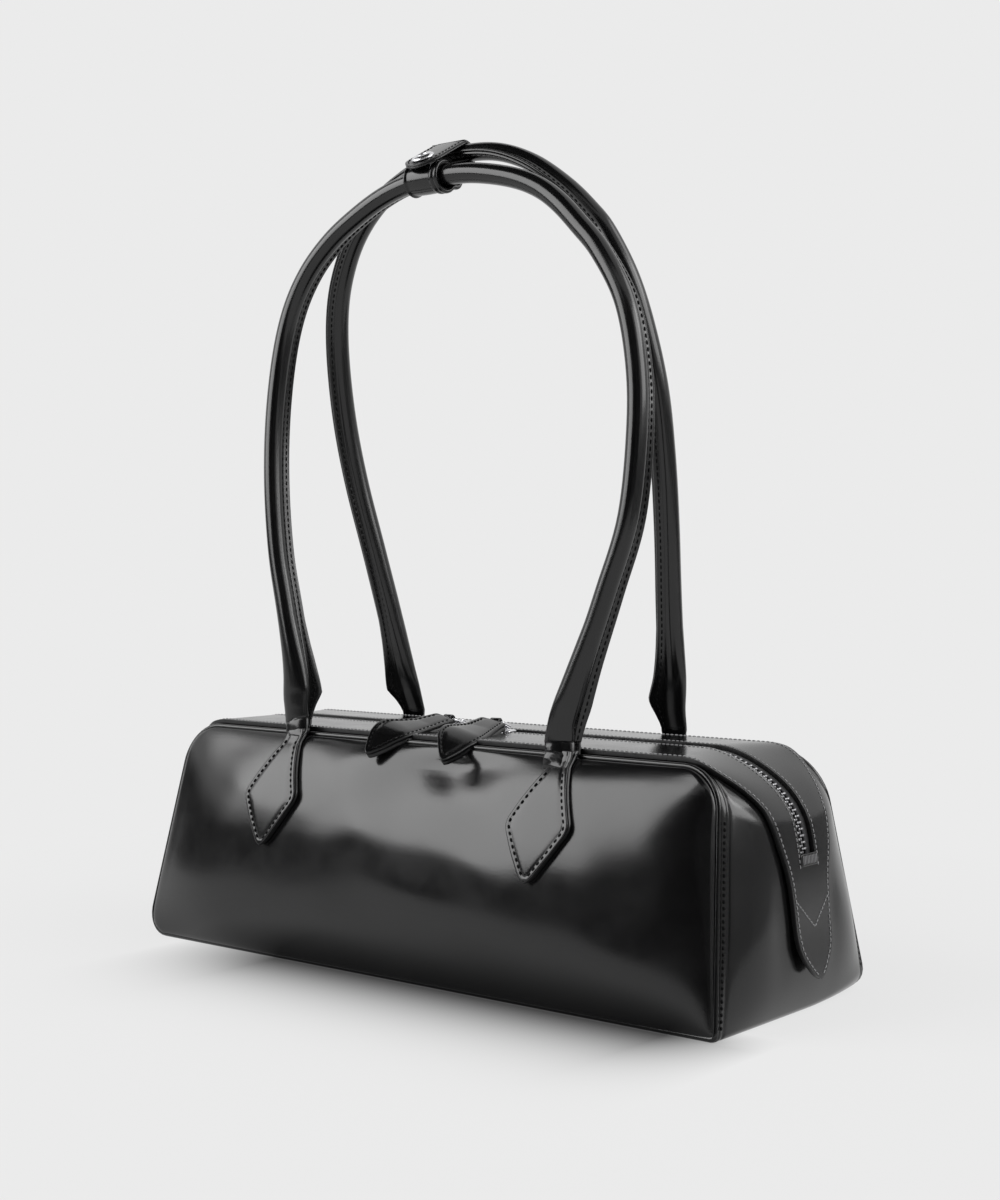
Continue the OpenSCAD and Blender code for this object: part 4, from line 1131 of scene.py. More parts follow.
def make_tape(form, side):
    """Half of the zip's woven tape, under the strip."""
    high = tape_top(form)
    across = side * np.linspace(form.z.chain_w / 2 - 0.7 * MM, TAPE_REACH, 9)
    rows = form.strip_rows(form.z.slot_end - 4.8 * MM, side=16, bend=10, deck=60)
    upper = form.strip_place(rows, lambda h: across, high, flat=True)
    lower = form.strip_place(rows, lambda h: across, high - TAPE_T, flat=True)
    verts, faces, _ = sheet_mesh(upper, lower)
    name = "zip_tape_" + SIDES[side]
    dress(piece(name + "_weave", verts, faces, finish_of("tape")), "bag", [name])


# One zip tooth by rows, in mm: reach from the middle of the chain, half length and half height there.
TOOTH = [
    (-0.55, 0.26, 0.34), (-0.3, 0.52, 0.62), (0.15, 0.60, 0.74), (0.55, 0.46, 0.66), (0.95, 0.42, 0.70),
    (1.6, 0.58, 0.90), (2.2, 0.64, 0.94), (2.75, 0.56, 0.74),
]


def make_teeth(form, side):
    """One row of metal teeth, each with its rounded head between the two of the other row."""
    mid = tape_top(form) - TAPE_T / 2
    rows = form.strip_rows(form.z.slot_end + 2.4 * MM, side=40, bend=24, deck=200)
    line, above = (form.strip_place(rows, lambda h: np.zeros(1), z, flat=True)[:, 0] for z in (mid, mid + MM))
    run = run_along(line)
    count = int(run[-1] / form.z.pitch)
    at = (np.arange(count) + (0.25 if side < 0 else 0.75)) * run[-1] / count
    out = unit(read_along(at, run, above - line))
    across = np.tile([0.0, side, 0.0], (count, 1))
    sides, power = 10, 0.6
    turns = np.linspace(0, 2 * math.pi, sides, endpoint=False)
    shape = np.array([
        (reach, half_l * rounded(math.cos(a), power), half_h * rounded(math.sin(a), power))
        for reach, half_l, half_h in TOOTH for a in turns
    ]) * MM
    verts, faces = copies(shape, sides, read_along(at, run, line), across, unit(np.cross(out, across)), out)
    name = "zip_teeth_" + SIDES[side]
    dress(piece(name + "_row", verts, faces, finish_of("teeth")), "bag", [name])


# The ring as it is in the frame: its wire and the play round it, its size, its rise at rest and its turn to the
# bag's end.
WIRE, CLEAR = 1.4 * MM, 0.3 * MM
RING_LEN, RING_W, RING_LIFT, SPLAY = 8 * MM, 8.4 * MM, math.radians(18), math.radians(10)
# The ring's lower bar, from the axis of its upper one.
RING_END = np.array([0, -RING_LEN * math.cos(RING_LIFT), RING_LEN * math.sin(RING_LIFT)])
# Size of a slider's plates.
SLIDER_W, SLIDER_LEN = 9.6 * MM, 11 * MM


def zip_heights(form):
    """Heights of the chain's middle and of the ring's axis, and the radius of the slider's eye."""
    chain = form.seam_h + form.z.crest - form.z.strip_t + tape_top(form) - TAPE_T / 2
    plate = chain + 1.2 * MM + CLEAR + 1.1 * MM
    eye_r = WIRE / 2 + CLEAR + 1.0 * MM
    return chain, plate + eye_r - 0.55 * MM, eye_r


def on_slider(form, end, points):
    """Points given from the ring's axis, turned and set over their slider."""
    return turned(points, end * SPLAY) + [end * form.z.slider_x, 0, zip_heights(form)[1]]


def turned(points, angle):
    """Points turned round the upright axis."""
    c, s = math.cos(angle), math.sin(angle)
    x, y, z = points[..., 0], points[..., 1], points[..., 2]
    return np.stack([x * c - y * s, x * s + y * c, z], -1)


def prism(outline, low, high, crown):
    """Plate from an outline, with a soft crown on its upper face."""
    rows = [(1.0, low), (1.0, high - 0.25 * MM), (0.94, high), (0.5, high + crown)]
    return tube_mesh([np.pad(outline * share, ((0, 0), (0, 1)), constant_values=z) for share, z in rows])


def make_slider(form, end):
    """Zip slider: two plates with side flanges, and the eye for its ring."""
    chain, _, eye_r = zip_heights(form)
    w, l = SLIDER_W / 2, SLIDER_LEN / 2
    tail = [(-l, -w * 0.55), (-l + 0.6 * MM, -w * 0.8), (-l * 0.45, -w * 0.86), (l * 0.1, -w), (l * 0.5, -w),
            (l * 0.82, -w * 0.8), (l, -w * 0.42)]
    outline = np.array(tail + [(x, -y) for x, y in reversed(tail)])
    ahead = np.roll(outline, -1, 0)
    outline = np.stack([mix(outline, ahead, share) for share in (0, 0.33, 0.66)], 1).reshape(-1, 2)
    for _ in range(2):
        outline = (np.roll(outline, 1, 0) + 2 * outline + np.roll(outline, -1, 0)) / 4
    parts = [prism(outline, 1.5 * MM, 2.6 * MM, 0.25 * MM)]
    v, f = prism(outline, 1.5 * MM, 2.6 * MM, 0.1 * MM)
    parts.append((v * [1, 1, -1], f))
    for side in (-1, 1):
        y0, y1 = side * (form.z.chain_w / 2 + 0.35 * MM), side * (w - 0.1 * MM)
        for up in (-1, 1):
            flange = ((y0, 0.7), (y1, 0.7), (y1, 1.8), (y0, 1.8))
            parts.append(tube_mesh([
                [(x, y, up * z * MM) for y, z in flange] for x in (-l * 0.7, -l * 0.2, l * 0.3)
            ]))
    verts, faces, _ = join(parts)
    verts = verts * [end, 1, 1] + [end * form.z.slider_x, 0, chain]
    eye_v, eye_f = hoop(1.6 * MM, 1.4 * MM, eye_r, WIRE / 2 + CLEAR, 0.15 * MM)
    verts, faces, _ = join([(verts, faces), (on_slider(form, end, eye_v), eye_f)])
    name = "slider_" + ENDS[end]
    obj = piece(name + "_metal", verts, faces, finish_of("metal"))
    soften(obj, 0.12 * MM, 2)
    dress(obj, ENDS[end] + "_slider", [name])


def make_ring(form, end):
    """Wire ring between a slider and its pull, bent from round wire."""
    reach, r = RING_W / 2 - WIRE / 2, 1.3 * MM
    near, far = -r, -RING_LEN + r
    corners = ((reach - r, near, 0), (-reach + r, near, 90), (-reach + r, far, 180), (reach - r, far, 270))
    c, s = math.cos(RING_LIFT), -math.sin(RING_LIFT)
    line = []
    for corner_x, corner_y, start in corners:
        for k in range(9):
            a = math.radians(start + 90 * k / 8)
            y = corner_y + r * math.sin(a)
            line.append((corner_x + r * math.cos(a), y * c, y * s))
    line = turned(np.array(line), end * SPLAY)
    out = turned(np.array([0.0, -s, c]), end * SPLAY)
    verts, faces = round_bar(line, WIRE / 2, 12, np.tile(out, (len(line), 1)), loop=True)
    verts = verts + [end * form.z.slider_x, 0, zip_heights(form)[1]]
    obj = piece("ring_%s_wire" % ENDS[end], verts, faces, finish_of("metal"))
    dress(obj, ENDS[end] + "_ring", ["pull_ring_" + ENDS[end]])


# Half widths of the leather pulls: place along them and half width, as shares of their length and width.
PULL_SHARES = np.array([
    (0, 0.34), (0.12, 0.35), (0.3, 0.40), (0.5, 0.485), (0.58, 0.5), (0.66, 0.475), (0.86, 0.26), (0.97, 0.1),
    (1, 0.05),
])
# Slope of the pulls' points down the panel, and how far the pulls are rolled, their right edge down.
PULL_SLOPE, PULL_ROLL = math.radians(42), math.radians(22)


def eased_outline(shares, span, width, start, rows=70, round_off=1.6 * MM):
    """Half widths along a leather piece: straight runs with rounded corners and rounded ends."""
    k = np.linspace(0, 1, rows)
    s = mix(k, (1 - np.cos(math.pi * k)) / 2, 0.6)
    fine = np.linspace(0, 1, 600)
    h = np.interp(fine, shares[:, 0], shares[:, 1]) * width
    spread = max(1, int(len(fine) * 1.3 * MM / span))
    window = np.hanning(2 * spread + 3)
    h = np.convolve(np.pad(h, spread + 1, "edge"), window / window.sum(), "valid")
    for from_end in (fine, 1 - fine):
        h = np.maximum(h - corner_cut(from_end * span, round_off), 0.15 * MM)
    return start + s * span, np.interp(s, fine, h)


def outline_grid(along, half, place, cols):
    """grid_at for a slab whose outline is given by half widths along its middle line."""
    slope = np.gradient(half, along)
    edge = np.array([0.0, 0.5, 1.0, 1.4, 1.8, 2.2, 2.9]) * MM

    def grid_at(inset, level):
        """The outline's grid, drawn in by inset and set at level, with the groove that the thread presses."""
        a = mix(along[0] + inset, along[-1] - inset, (along - along[0]) / (along[-1] - along[0]))
        h = drawn_in(a, along, half, slope, inset, 0.05 * MM)
        near = edge[None, :] * np.minimum(1.0, h / (4.6 * MM))[:, None]
        inner = np.linspace(1, -1, cols - 2 * len(edge) + 2)[1:-1]
        right = h[:, None] - near
        middle = (h - near[:, -1])[:, None] * inner[None, :]
        b = np.concatenate([-right, -middle, right[:, ::-1]], 1)
        a = np.repeat(a[:, None], b.shape[1], 1)
        inward = (h[:, None] - np.abs(b)) / np.sqrt(1 + slope[:, None] ** 2)
        groove = 0.22 * MM * np.exp(-((inward - 1.8 * MM) / (0.55 * MM)) ** 2)
        return place(a, b, level - groove * (level > 1.2 * MM) * (h[:, None] > 3 * MM))

    return grid_at


def drawn_in(a, along, half, slope, inset, least):
    """Half widths at places a of an outline that is drawn in by inset."""
    return np.maximum(np.interp(a, along, half) - inset * np.sqrt(1 + np.interp(a, along, slope) ** 2), least)


def outline_stitches(along, half, place, level, inset=1.8 * MM, skip_start=0.0, **kind):
    """Thread rows along both sides of a slab's outline."""
    slope = np.gradient(half, along)
    a = np.linspace(along[0] + inset * 1.1 + skip_start, along[-1] - inset * 1.6, 90)
    h = drawn_in(a, along, half, slope, inset, 0.25 * MM)
    runs = []
    for side in (-1, 1):
        line = place(a, side * h, level - 0.16 * MM)
        out = unit(place(a, side * h, level + MM) - line)
        runs.append(stitch_run(line, out, **kind))
    return runs


# Edge of two layers of leather, in mm: how far it is drawn in, and height over the underside.
TWO_LAYER_EDGE = [
    (0.35, 0), (0.08, 0.12), (0, 0.4), (0, 1.4), (0.3, 1.66), (0.3, 1.74), (0, 2.0), (0, 3.0), (0.1, 3.28), (0.4, 3.4),
]


def edge_profile(thick, share=1.0):
    """Edge of two layers glued and painted: rounded at both faces, with the joint between them."""
    k = thick / TWO_LAYER_EDGE[-1][1]
    return [(inset * MM * share, level * k) for inset, level in TWO_LAYER_EDGE]


def pull_bend(form):
    """Slope of a pull from its ring to the strip's edge, and how far along it lies over that edge."""
    edge_y = form.b.top_dep / 2 - form.b.bead - LAY
    crest = (form.z.crest - form.z.strip_t) * (1 - (edge_y / (form.b.top_dep / 2)) ** 2)
    edge_z = form.seam_h + form.z.strip_t + crest
    rest = edge_y / math.cos(SPLAY) + RING_END[1]
    fall = zip_heights(form)[1] + RING_END[2] - edge_z - 2 * LAY - form.z.pull_t / 2
    return math.atan(fall / rest), rest + form.z.pull_t / 2


def make_pull(form, end):
    """Leather pull: two layers folded over the ring, bent over the front seam, with thread round it."""
    slope, bend = pull_bend(form)
    start = WIRE / 2 + 2 * CLEAR + 0.5 * MM
    thick = form.z.pull_t
    along, half = eased_outline(PULL_SHARES, form.z.pull_len - start, form.z.pull_w, start)
    soft, before = 5 * MM, 2 * MM
    fine = np.linspace(-before, form.z.pull_len + 4 * MM, 900)
    bent = clamp((fine - bend + soft) / (2 * soft))
    sag = 0.10 * np.sin(fine / form.z.pull_len * 5)
    angle = slope + (PULL_SLOPE - slope) * bent + sag
    step = fine[1] - fine[0]
    zero = int(round(before / step))
    ahead, down = np.cumsum(np.cos(angle)) * step, np.cumsum(np.sin(angle)) * step
    ahead, down = ahead - ahead[zero], down - down[zero]

    def place(a, b, level):
        """Points of the pull: a along it, b across it, level over its underside."""
        rolled = clamp((a - bend + 18 * MM) / (24 * MM))
        lean = PULL_ROLL * (0.5 + 0.5 * rolled)
        t = level - thick / 2 - b * np.sin(lean) + 2.6 * MM * rolled
        local = np.interp(a, fine, angle)
        crown = -0.25 * MM * (np.abs(b) / (form.z.pull_w / 2)) ** 2
        y = -np.interp(a, fine, ahead) - t * np.sin(local)
        z = -np.interp(a, fine, down) + t * np.cos(local) + crown
        return on_slider(form, end, np.stack([b * np.cos(lean), y, z], -1) + RING_END)

    slab_part = slab(outline_grid(along, half, place, 19), edge_profile(thick))
    half_w = (RING_W - 2 * WIRE - 2 * CLEAR) / 2
    fold_v, fold_f = hoop(half_w, 0.9 * half_w, zip_heights(form)[2] + 0.25 * MM, WIRE / 2 + CLEAR, 0.3 * MM)
    fold = (on_slider(form, end, fold_v + RING_END), fold_f)
    name, body = "pull_" + ENDS[end], ENDS[end] + "_pull"
    leather(name + "_leather", join([slab_part, fold]), body, name)
    sew("stitches_" + name, outline_stitches(along, half, place, thick, pitch=2.6 * MM, stitch=1.8 * MM), body)


# Tabs and handles

# Half widths of the tabs: place along them and half width, as shares of their length and width.
TAB_SHARES = np.array([
    (0.0, 0.155), (0.10, 0.16), (0.18, 0.225), (0.36, 0.37), (0.51, 0.49), (0.56, 0.5), (0.61, 0.47), (0.76, 0.32),
    (0.94, 0.12), (1, 0.03),
])
# The handles' middle lines from the left neck to the right: place and height, as shares of half width and rise.
FRONT_ARCH = np.array([
    (-0.74, 0), (-0.75, 0.04), (-0.77, 0.1), (-0.84, 0.21), (-0.91, 0.32), (-0.955, 0.45), (-0.965, 0.575),
    (-0.94, 0.695), (-0.885, 0.785), (-0.79, 0.855), (-0.655, 0.91), (-0.5, 0.95), (-0.34, 0.98),
    (-0.18, 0.996), (0, 1), (0.17, 0.995), (0.36, 0.977), (0.5, 0.953), (0.61, 0.921), (0.72, 0.876),
    (0.83, 0.825), (0.95, 0.742), (1.015, 0.64), (1.035, 0.53), (1.01, 0.38), (0.92, 0.255),
    (0.835, 0.13), (0.79, 0.04), (0.78, 0),
])
BACK_ARCH = np.array([
    (-0.83, 0), (-0.85, 0.04), (-0.87, 0.08), (-0.905, 0.18), (-0.96, 0.305), (-1.02, 0.44), (-1.045, 0.56),
    (-1.03, 0.68), (-0.98, 0.77), (-0.89, 0.84), (-0.77, 0.895), (-0.61, 0.94), (-0.42, 0.975),
    (-0.21, 0.995), (0, 1), (0.2, 0.992), (0.39, 0.965), (0.56, 0.922), (0.68, 0.88), (0.77, 0.838),
    (0.87, 0.76), (0.93, 0.67), (0.963, 0.57), (0.96, 0.46), (0.94, 0.35), (0.906, 0.228),
    (0.865, 0.1), (0.83, 0.04), (0.82, 0),
])


class Arch:
    """One handle: its arch, its lean and the places of its necks. Side is -1 for the front, 1 for the back."""

    def __init__(self, form, side):
        h = form.h
        self.form, self.side = form, side
        self.shares = FRONT_ARCH if side < 0 else BACK_ARCH
        self.half = h.front_half if side < 0 else h.back_half
        self.rise = h.front_rise if side < 0 else h.back_rise
        self.lean = math.radians(h.front_lean if side < 0 else h.back_lean)
        self.hinge_y = form.b.top_dep / 2 + LAY + h.tab_t / 2
        self.hinge_z = form.seam_h + 5 * MM
        self.name = SIDES[side]

    def line(self):
        """Points of the arch, its ends drawn onto the necks, on a smooth curve."""
        ends = (self.shares[0][0], self.shares[-1][0])
        tied = []
        for share, high in self.shares:
            end = 0 if share < 0 else 1
            slack = (2 * end - 1) * self.form.h.neck_x - ends[end] * self.half
            tied.append((share * self.half + slack * (1 - min(1, high / 0.3)) ** 2, high * self.rise))
        p = np.array(tied)
        p = np.concatenate([[2 * p[0] - p[1]], p, [2 * p[-1] - p[-2]]])
        out = []
        for i in range(1, len(p) - 2):
            a, b, c, d = p[i - 1:i + 3]
            one, two, three = c - a, 2 * a - 5 * b + 4 * c - d, 3 * b - a - 3 * c + d
            for t in np.arange(8) / 8:
                out.append(b + (t * one + t * t * two + t ** 3 * three) / 2)
        out.append(p[-2])
        return np.array(out)

    def globe(self, flat):
        """Points of the arch's own plane in the frame."""
        x, up = flat[:, 0], flat[:, 1]
        return np.stack([
            x, self.side * (self.hinge_y - up * math.sin(self.lean)), self.hinge_z + up * math.cos(self.lean)
        ], -1)

    def lip_way(self):
        return np.array([0.0, -self.side * math.cos(self.lean), -math.sin(self.lean)])

    def spot(self, x):
        """Place of the handle's middle line over one x, across the bag and up."""
        top = self.shares[self.shares[:, 1] > 0.93]
        up = self.rise * np.interp(x / self.half, top[:, 0], top[:, 1])
        return self.globe(np.array([[x, up]]))[0, 1:]


# How a rolled handle opens towards its neck. Rows: height over the hinge; half width and half depth of the
# roll; reach of the sewn edge; its turn from the back towards the right, in degrees; its thickness. In mm.
NECK = np.array([
    (-9.5, 5.3, 0.5, 0.9, 50, 1.8), (-8.3, 5.6, 1.4, 1.4, 50, 2.0), (-6.5, 5.9, 2.1, 2.0, 50, 2.2),
    (-2, 6.1, 2.6, 2.5, 50, 2.3), (3, 6.3, 2.9, 3.1, 50, 2.3), (7, 6.6, 3.2, 4.4, 49, 2.3),
    (10.5, 6.85, 3.4, 6.2, 48, 2.3), (13, 6.9, 3.5, 7.3, 47, 2.3), (16, 6.8, 3.8, 6.8, 45, 2.3),
    (24, 6.3, 4.2, 5.4, 40, 2.4), (35, 5.5, 4.5, 4.2, 36, 2.6), (47, 4.85, 4.6, 3.5, 33, 2.8),
    (75, 4.6, 4.6, 3.4, 27, 2.8), (120, 4.6, 4.6, 3.4, 22, 2.8), (180, 4.6, 4.6, 3.4, 12, 2.8),
    (260, 4.6, 4.6, 3.4, 0, 2.8),
])
# The handle that the table was made for: its diameter and the reach of its lip. Its lowest row is the crease.
NECK_ROLL, NECK_LIP, NECK_CREASE = 9.2, 3.4, NECK[0, 0]
# Turn of the front necks about their own line, in degrees, by end.
NECK_TWIST = {-1: -9, 1: 24}


def neck_foot(arch, end):
    """Height over the hinge at which the neck creases onto its tab."""
    if arch.side > 0:
        return -9.0 * MM
    return (-10.8 if end > 0 else -7.5) * MM


# The right front neck is pressed flat on its tab. Rows: height over the hinge, half width, reach of the sewn
# edge and how far it lies to the right, in mm.
PRESSED_NECK = np.array([
    (-11, 6.5, 3.2, 1.8), (0, 6.6, 3.4, 1.9), (10, 6.5, 4.0, 2.0), (16, 6.2, 4.6, 1.9), (24, 5.7, 4.5, 1.5),
    (35, 5.2, 4.1, 1.0), (50, 4.7, 3.6, 0.3), (75, 4.6, 3.4, 0.0), (300, 4.6, 3.4, 0.0),
])


def neck_tail(form, arch, end):
    """Line from the crease on a tab's face up to the hinge."""
    z = np.linspace(arch.hinge_z + neck_foot(arch, end), arch.hinge_z, 17)
    t = (arch.hinge_z - z) / (arch.hinge_z - z[0])
    x = end * form.h.neck_x + tab_lean(form.seam_h - z, arch.side) * t ** 0.7
    face = form.panel_soft(x, np.minimum(z, form.seam_h), arch.side) + LAY + form.h.tab_t
    flat = np.interp(NECK_CREASE * t, NECK[:, 0], NECK[:, 2]) * form.h.handle_d / NECK_ROLL
    hung, laid = arch.hinge_y + 2.75 * MM + (arch.hinge_z - z) * math.tan(arch.lean), face + 0.3 * MM
    y = (hung + laid + np.sqrt((hung - laid) ** 2 + (0.8 * MM) ** 2)) / 2 - 0.5 * MM * t ** 8 - flat
    y = y + (arch.hinge_y - y[-1]) * (1 - t) ** 2
    return np.stack([x, arch.side * y, z], -1)[:-1]


def handle_section(r_u, r_v, lip_h, lip_t, turn):
    """Section of the rolled handle, with its two edges sewn together as a lip that is turned from the back.

    Gives its points, their angles from the lip, where the lip starts, and its directions out and across.
    """
    c, s = math.cos(turn), math.sin(turn)
    out, across = np.array([s, c]), np.array([c, -s])
    start = math.atan2(out[1] / r_v, out[0] / r_u)
    opening = 24
    a = start + np.radians(np.linspace(opening, 360 - opening, 34))
    ring = np.stack([r_u * np.cos(a), r_v * np.sin(a)], -1)
    base = 0.985 / math.hypot(out[0] / r_u, out[1] / r_v)
    half, top = lip_t / 2, lip_h + 0.015 * base
    right = [
        (half * 1.12, 0.0), (half, 0.18 * lip_h), (half, 0.55 * lip_h), (half, max(top - 0.35 * MM, 0.6 * top)),
        (half * 0.86, max(top - 0.08 * MM, 0.8 * top)), (half * 0.6, top), (0.16 * MM, top - 0.03 * MM),
        (0.0, max(top - 0.3 * MM, 0.5 * top)),
    ]
    flat = np.array(right + [(-w, high) for w, high in reversed(right[:-1])])
    section = np.concatenate([ring, flat[:, :1] * across + (base + flat[:, 1:]) * out])
    around = start - np.concatenate([a, np.full(len(flat), start)])
    return section, np.angle(np.exp(1j * around)), base, out, across


def neck_folds(section, around, end, d, foot):
    """Share by which a neck's section is drawn in, d mm over the hinge: a dent, a swell, folds and pleats."""
    front, beside = np.abs(around), -end * around
    dent = 1.0 * math.exp(-((d - 9.0) / 4.5) ** 2) * np.exp(-((beside - 0.75) / 0.35) ** 2)
    swell = -0.55 * math.exp(-((d - 15.0) / 5.0) ** 2) * np.exp(-((beside - 1.45) / 0.4) ** 2)
    wave = np.sin(d * 1.25 + 1.2 * np.sin(around))
    fold = 0.14 * wave * math.exp(-max(d - foot, 0) / 4.5) * clamp(front - 1.2)
    pleat = 0.09 * np.sin(around * 15) * math.exp(-((d - foot - 1.5) / 1.8) ** 2) * clamp(front - 1.0)
    reach = np.maximum(np.linalg.norm(section, axis=1, keepdims=True), 1e-6)
    return ((dent + swell + fold + pleat) * MM)[:, None] / reach


def handle_rings(form, arch):
    """Sections of a handle from crease to crease, and the line of its lip: points, way across, thickness."""
    h = form.h
    over = arch.globe(arch.line())
    left, right = neck_tail(form, arch, -1), neck_tail(form, arch, 1)[::-1]
    line = np.concatenate([left, over, right])
    middle = len(line) // 2
    height = line[:, 2] - arch.hinge_z
    along = unit(np.gradient(line, axis=0))
    lip = arch.lip_way()
    v = unit(lip[None] - (along @ lip)[:, None] * along)
    u = np.cross(v, along)
    scale = h.handle_d / NECK_ROLL
    rings, edges = [], []
    for i, p in enumerate(line):
        end = -1 if i < middle else 1
        d = height[i] / MM
        foot = neck_foot(arch, end) / MM
        read = d if d > 0 else d * NECK_CREASE / foot
        r_u, r_v, lip_h, turn, lip_t = (np.interp(read, NECK[:, 0], column) for column in NECK.T[1:])
        turn = -end * math.radians(turn)
        if arch.side < 0:
            twist = math.radians(NECK_TWIST[end]) * clamp((d - foot) / 2.5) * (1 - clamp((d - 16) / 60))
            turn = turn - twist
            c, s = math.cos(twist), math.sin(twist)
            u[i], v[i] = u[i] * c - v[i] * s, v[i] * c + u[i] * s
            if end > 0:
                r_u, lip_h, shift = (np.interp(d, PRESSED_NECK[:, 0], column) for column in PRESSED_NECK.T[1:])
                p = p + u[i] * shift * MM
            else:
                r_u = r_u * mix(1.06, 1.0, clamp((d - 10) / 20))
        else:
            r_u = r_u * mix(1.0, 0.9, clamp((d + 2) / 12))
        lip_h, lip_t = lip_h * h.lip_h / NECK_LIP, lip_t * MM
        section, around, base, out, across = handle_section(r_u * scale, r_v * scale, lip_h, lip_t, turn)
        if d < 34:
            section = section * (1 - neck_folds(section, around, end, d, foot))
        rings.append(p + u[i] * section[:, :1] + v[i] * section[:, 1:])
        lip_out, lip_across = u[i] * out[0] + v[i] * out[1], u[i] * across[0] + v[i] * across[1]
        edges.append((p + lip_out * (base + lip_h * 0.5), lip_across, lip_t))
    return rings, edges


def make_handle(form, side):
    """Rolled handle with its sewn lip, its necks running from the tabs up into the handle."""
    arch = Arch(form, side)
    rings, edges = handle_rings(form, arch)
    verts, faces = tube_mesh(rings)
    obj = piece("handle_%s_leather" % arch.name, verts, faces, finish_of("leather"))
    start = (0, side * arch.hinge_y, arch.hinge_z - 5.5 * MM)
    end = (0, side * arch.hinge_y, arch.hinge_z + 8 * MM)
    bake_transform(obj)
    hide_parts("handle_" + arch.name)
    runs = []
    for face in (-1, 1):
        at = np.array([p + across * face * lip_t / 2 for p, across, lip_t in edges])
        out = np.array([across * face for _, across, _ in edges])
        runs.append(stitch_run(at[2:-2], out[2:-2]))
    verts, faces, _ = join(runs)
    thread = piece("stitches_handle_%s" % arch.name, verts, faces, finish_of("thread"))
    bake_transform(thread)


def tab_lean(a, side):
    """A sewn tab is never quite straight: its head sits a little to one side and its point to the other."""
    return -side * mix(2.0 * MM, -1.2 * MM, clamp(a / (51 * MM)))


def make_tab(form, side, end):
    """Pointed tab sewn on a panel: two thick layers with a painted edge and thread all round."""
    h, thick, top = form.h, form.h.tab_t, 1.6 * MM
    along, half = eased_outline(TAB_SHARES, h.tab_drop, h.tab_w, 0.0, rows=80, round_off=1.8 * MM)
    along = np.concatenate([[-top], along])
    half = np.concatenate([[half[3]], half])
    half[:6] = np.maximum(half[:6], TAB_SHARES[0, 1] * h.tab_w)

    def place(a, b, level):
        x = end * h.neck_x + b + tab_lean(a, side)
        z = form.seam_h - a + 0 * b
        z_in = np.clip(z, 0, form.seam_h)
        swell = mix(form.panel_y(x, z_in, side), form.panel_soft(x, z_in, side), clamp(level / thick))
        return np.stack([x + 0 * z, side * (swell + LAY + level), z], -1)

    name = "tab_%s_%s" % (SIDES[side], ENDS[end])
    leather(name + "_leather", slab(outline_grid(along, half, place, 21), edge_profile(thick)), "bag", name)
    under_neck = -neck_foot(Arch(form, side), end) - 4.2 * MM
    sew("stitches_" + name, outline_stitches(
        along, half, place, thick, skip_start=under_neck, thick=0.95 * MM, stitch=2.1 * MM))


# Keeper

# Play round the handles, thickness of the keeper's leather, and the gap between two of its layers.
KEEPER_FIT, KEEPER_T, KEEPER_GAP = 0.8 * MM, 1.5 * MM, 0.35 * MM


class KeeperPlan:
    """Where the keeper sits on the two handles: points are (across the bag, up)."""

    def __init__(self, form):
        h, front_arch = form.h, Arch(form, -1)
        self.x, self.lean = h.keeper_x, front_arch.lean
        self.front, self.back = front_arch.spot(self.x), Arch(form, 1).spot(self.x)
        r = h.handle_d / 2
        self.sleeve_r = r + KEEPER_FIT + KEEPER_T
        self.flap_lift = self.sleeve_r + KEEPER_T + KEEPER_GAP
        self.back_lift = r + KEEPER_FIT
        self.flap_tilt, self.flap_run = self.tangent(self.front, self.back_lift - self.flap_lift)
        self.lip_reach = r + h.lip_h - h.lip_t / 2 + KEEPER_FIT
        self.lip_wrap = h.lip_t / 2 + KEEPER_FIT + KEEPER_T
        lip_at = self.front + self.lip_reach * np.array([math.cos(self.lean), -math.sin(self.lean)])
        self.strap_tilt, self.strap_run = self.tangent(lip_at, self.lip_wrap + LAY - self.back_lift)

    def tangent(self, start, drop):
        """Tilt and length of straight leather from a place in front to the back handle, lower there by drop."""
        gap = self.back - start
        span, tilt = np.hypot(*gap), math.atan2(gap[1], gap[0])
        turn = math.asin(drop / span)
        return tilt + turn, span * math.cos(turn)

    def at(self, spot, across, up, along):
        """Points given from one handle's middle line: towards the back, up, and along the handles."""
        shape = np.broadcast(across, up, along).shape
        return np.stack([
            np.broadcast_to(self.x + along, shape), np.broadcast_to(spot[0] + across, shape),
            np.broadcast_to(spot[1] + up, shape),
        ], -1)

    def on_flap(self, spot, a, lift, along):
        """Points given from one handle's middle line: along the flap, square to it, and along the handles."""
        c, s = math.cos(self.flap_tilt), math.sin(self.flap_tilt)
        return self.at(spot, a * c - lift * s, a * s + lift * c, along)


# The sleeve's rims, in mm: step in from its left or right end, and how far the leather is drawn in there.
SLEEVE_LEFT = [(0.1, 0.15), (0, -0.2), (0.15, -0.6), (0.5, -0.75), (0.95, -0.65), (1.25, -0.2), (1.5, 0.0)]
SLEEVE_RIGHT = [
    (5.0, 0.0), (4.75, -0.3), (4.4, -0.62), (3.6, -0.72), (2.9, -0.6), (2.6, -0.15), (2.45, -0.15), (2.1, -0.62),
    (1.3, -0.75), (0.5, -0.65), (0.05, -0.25), (0, 0.1),
]


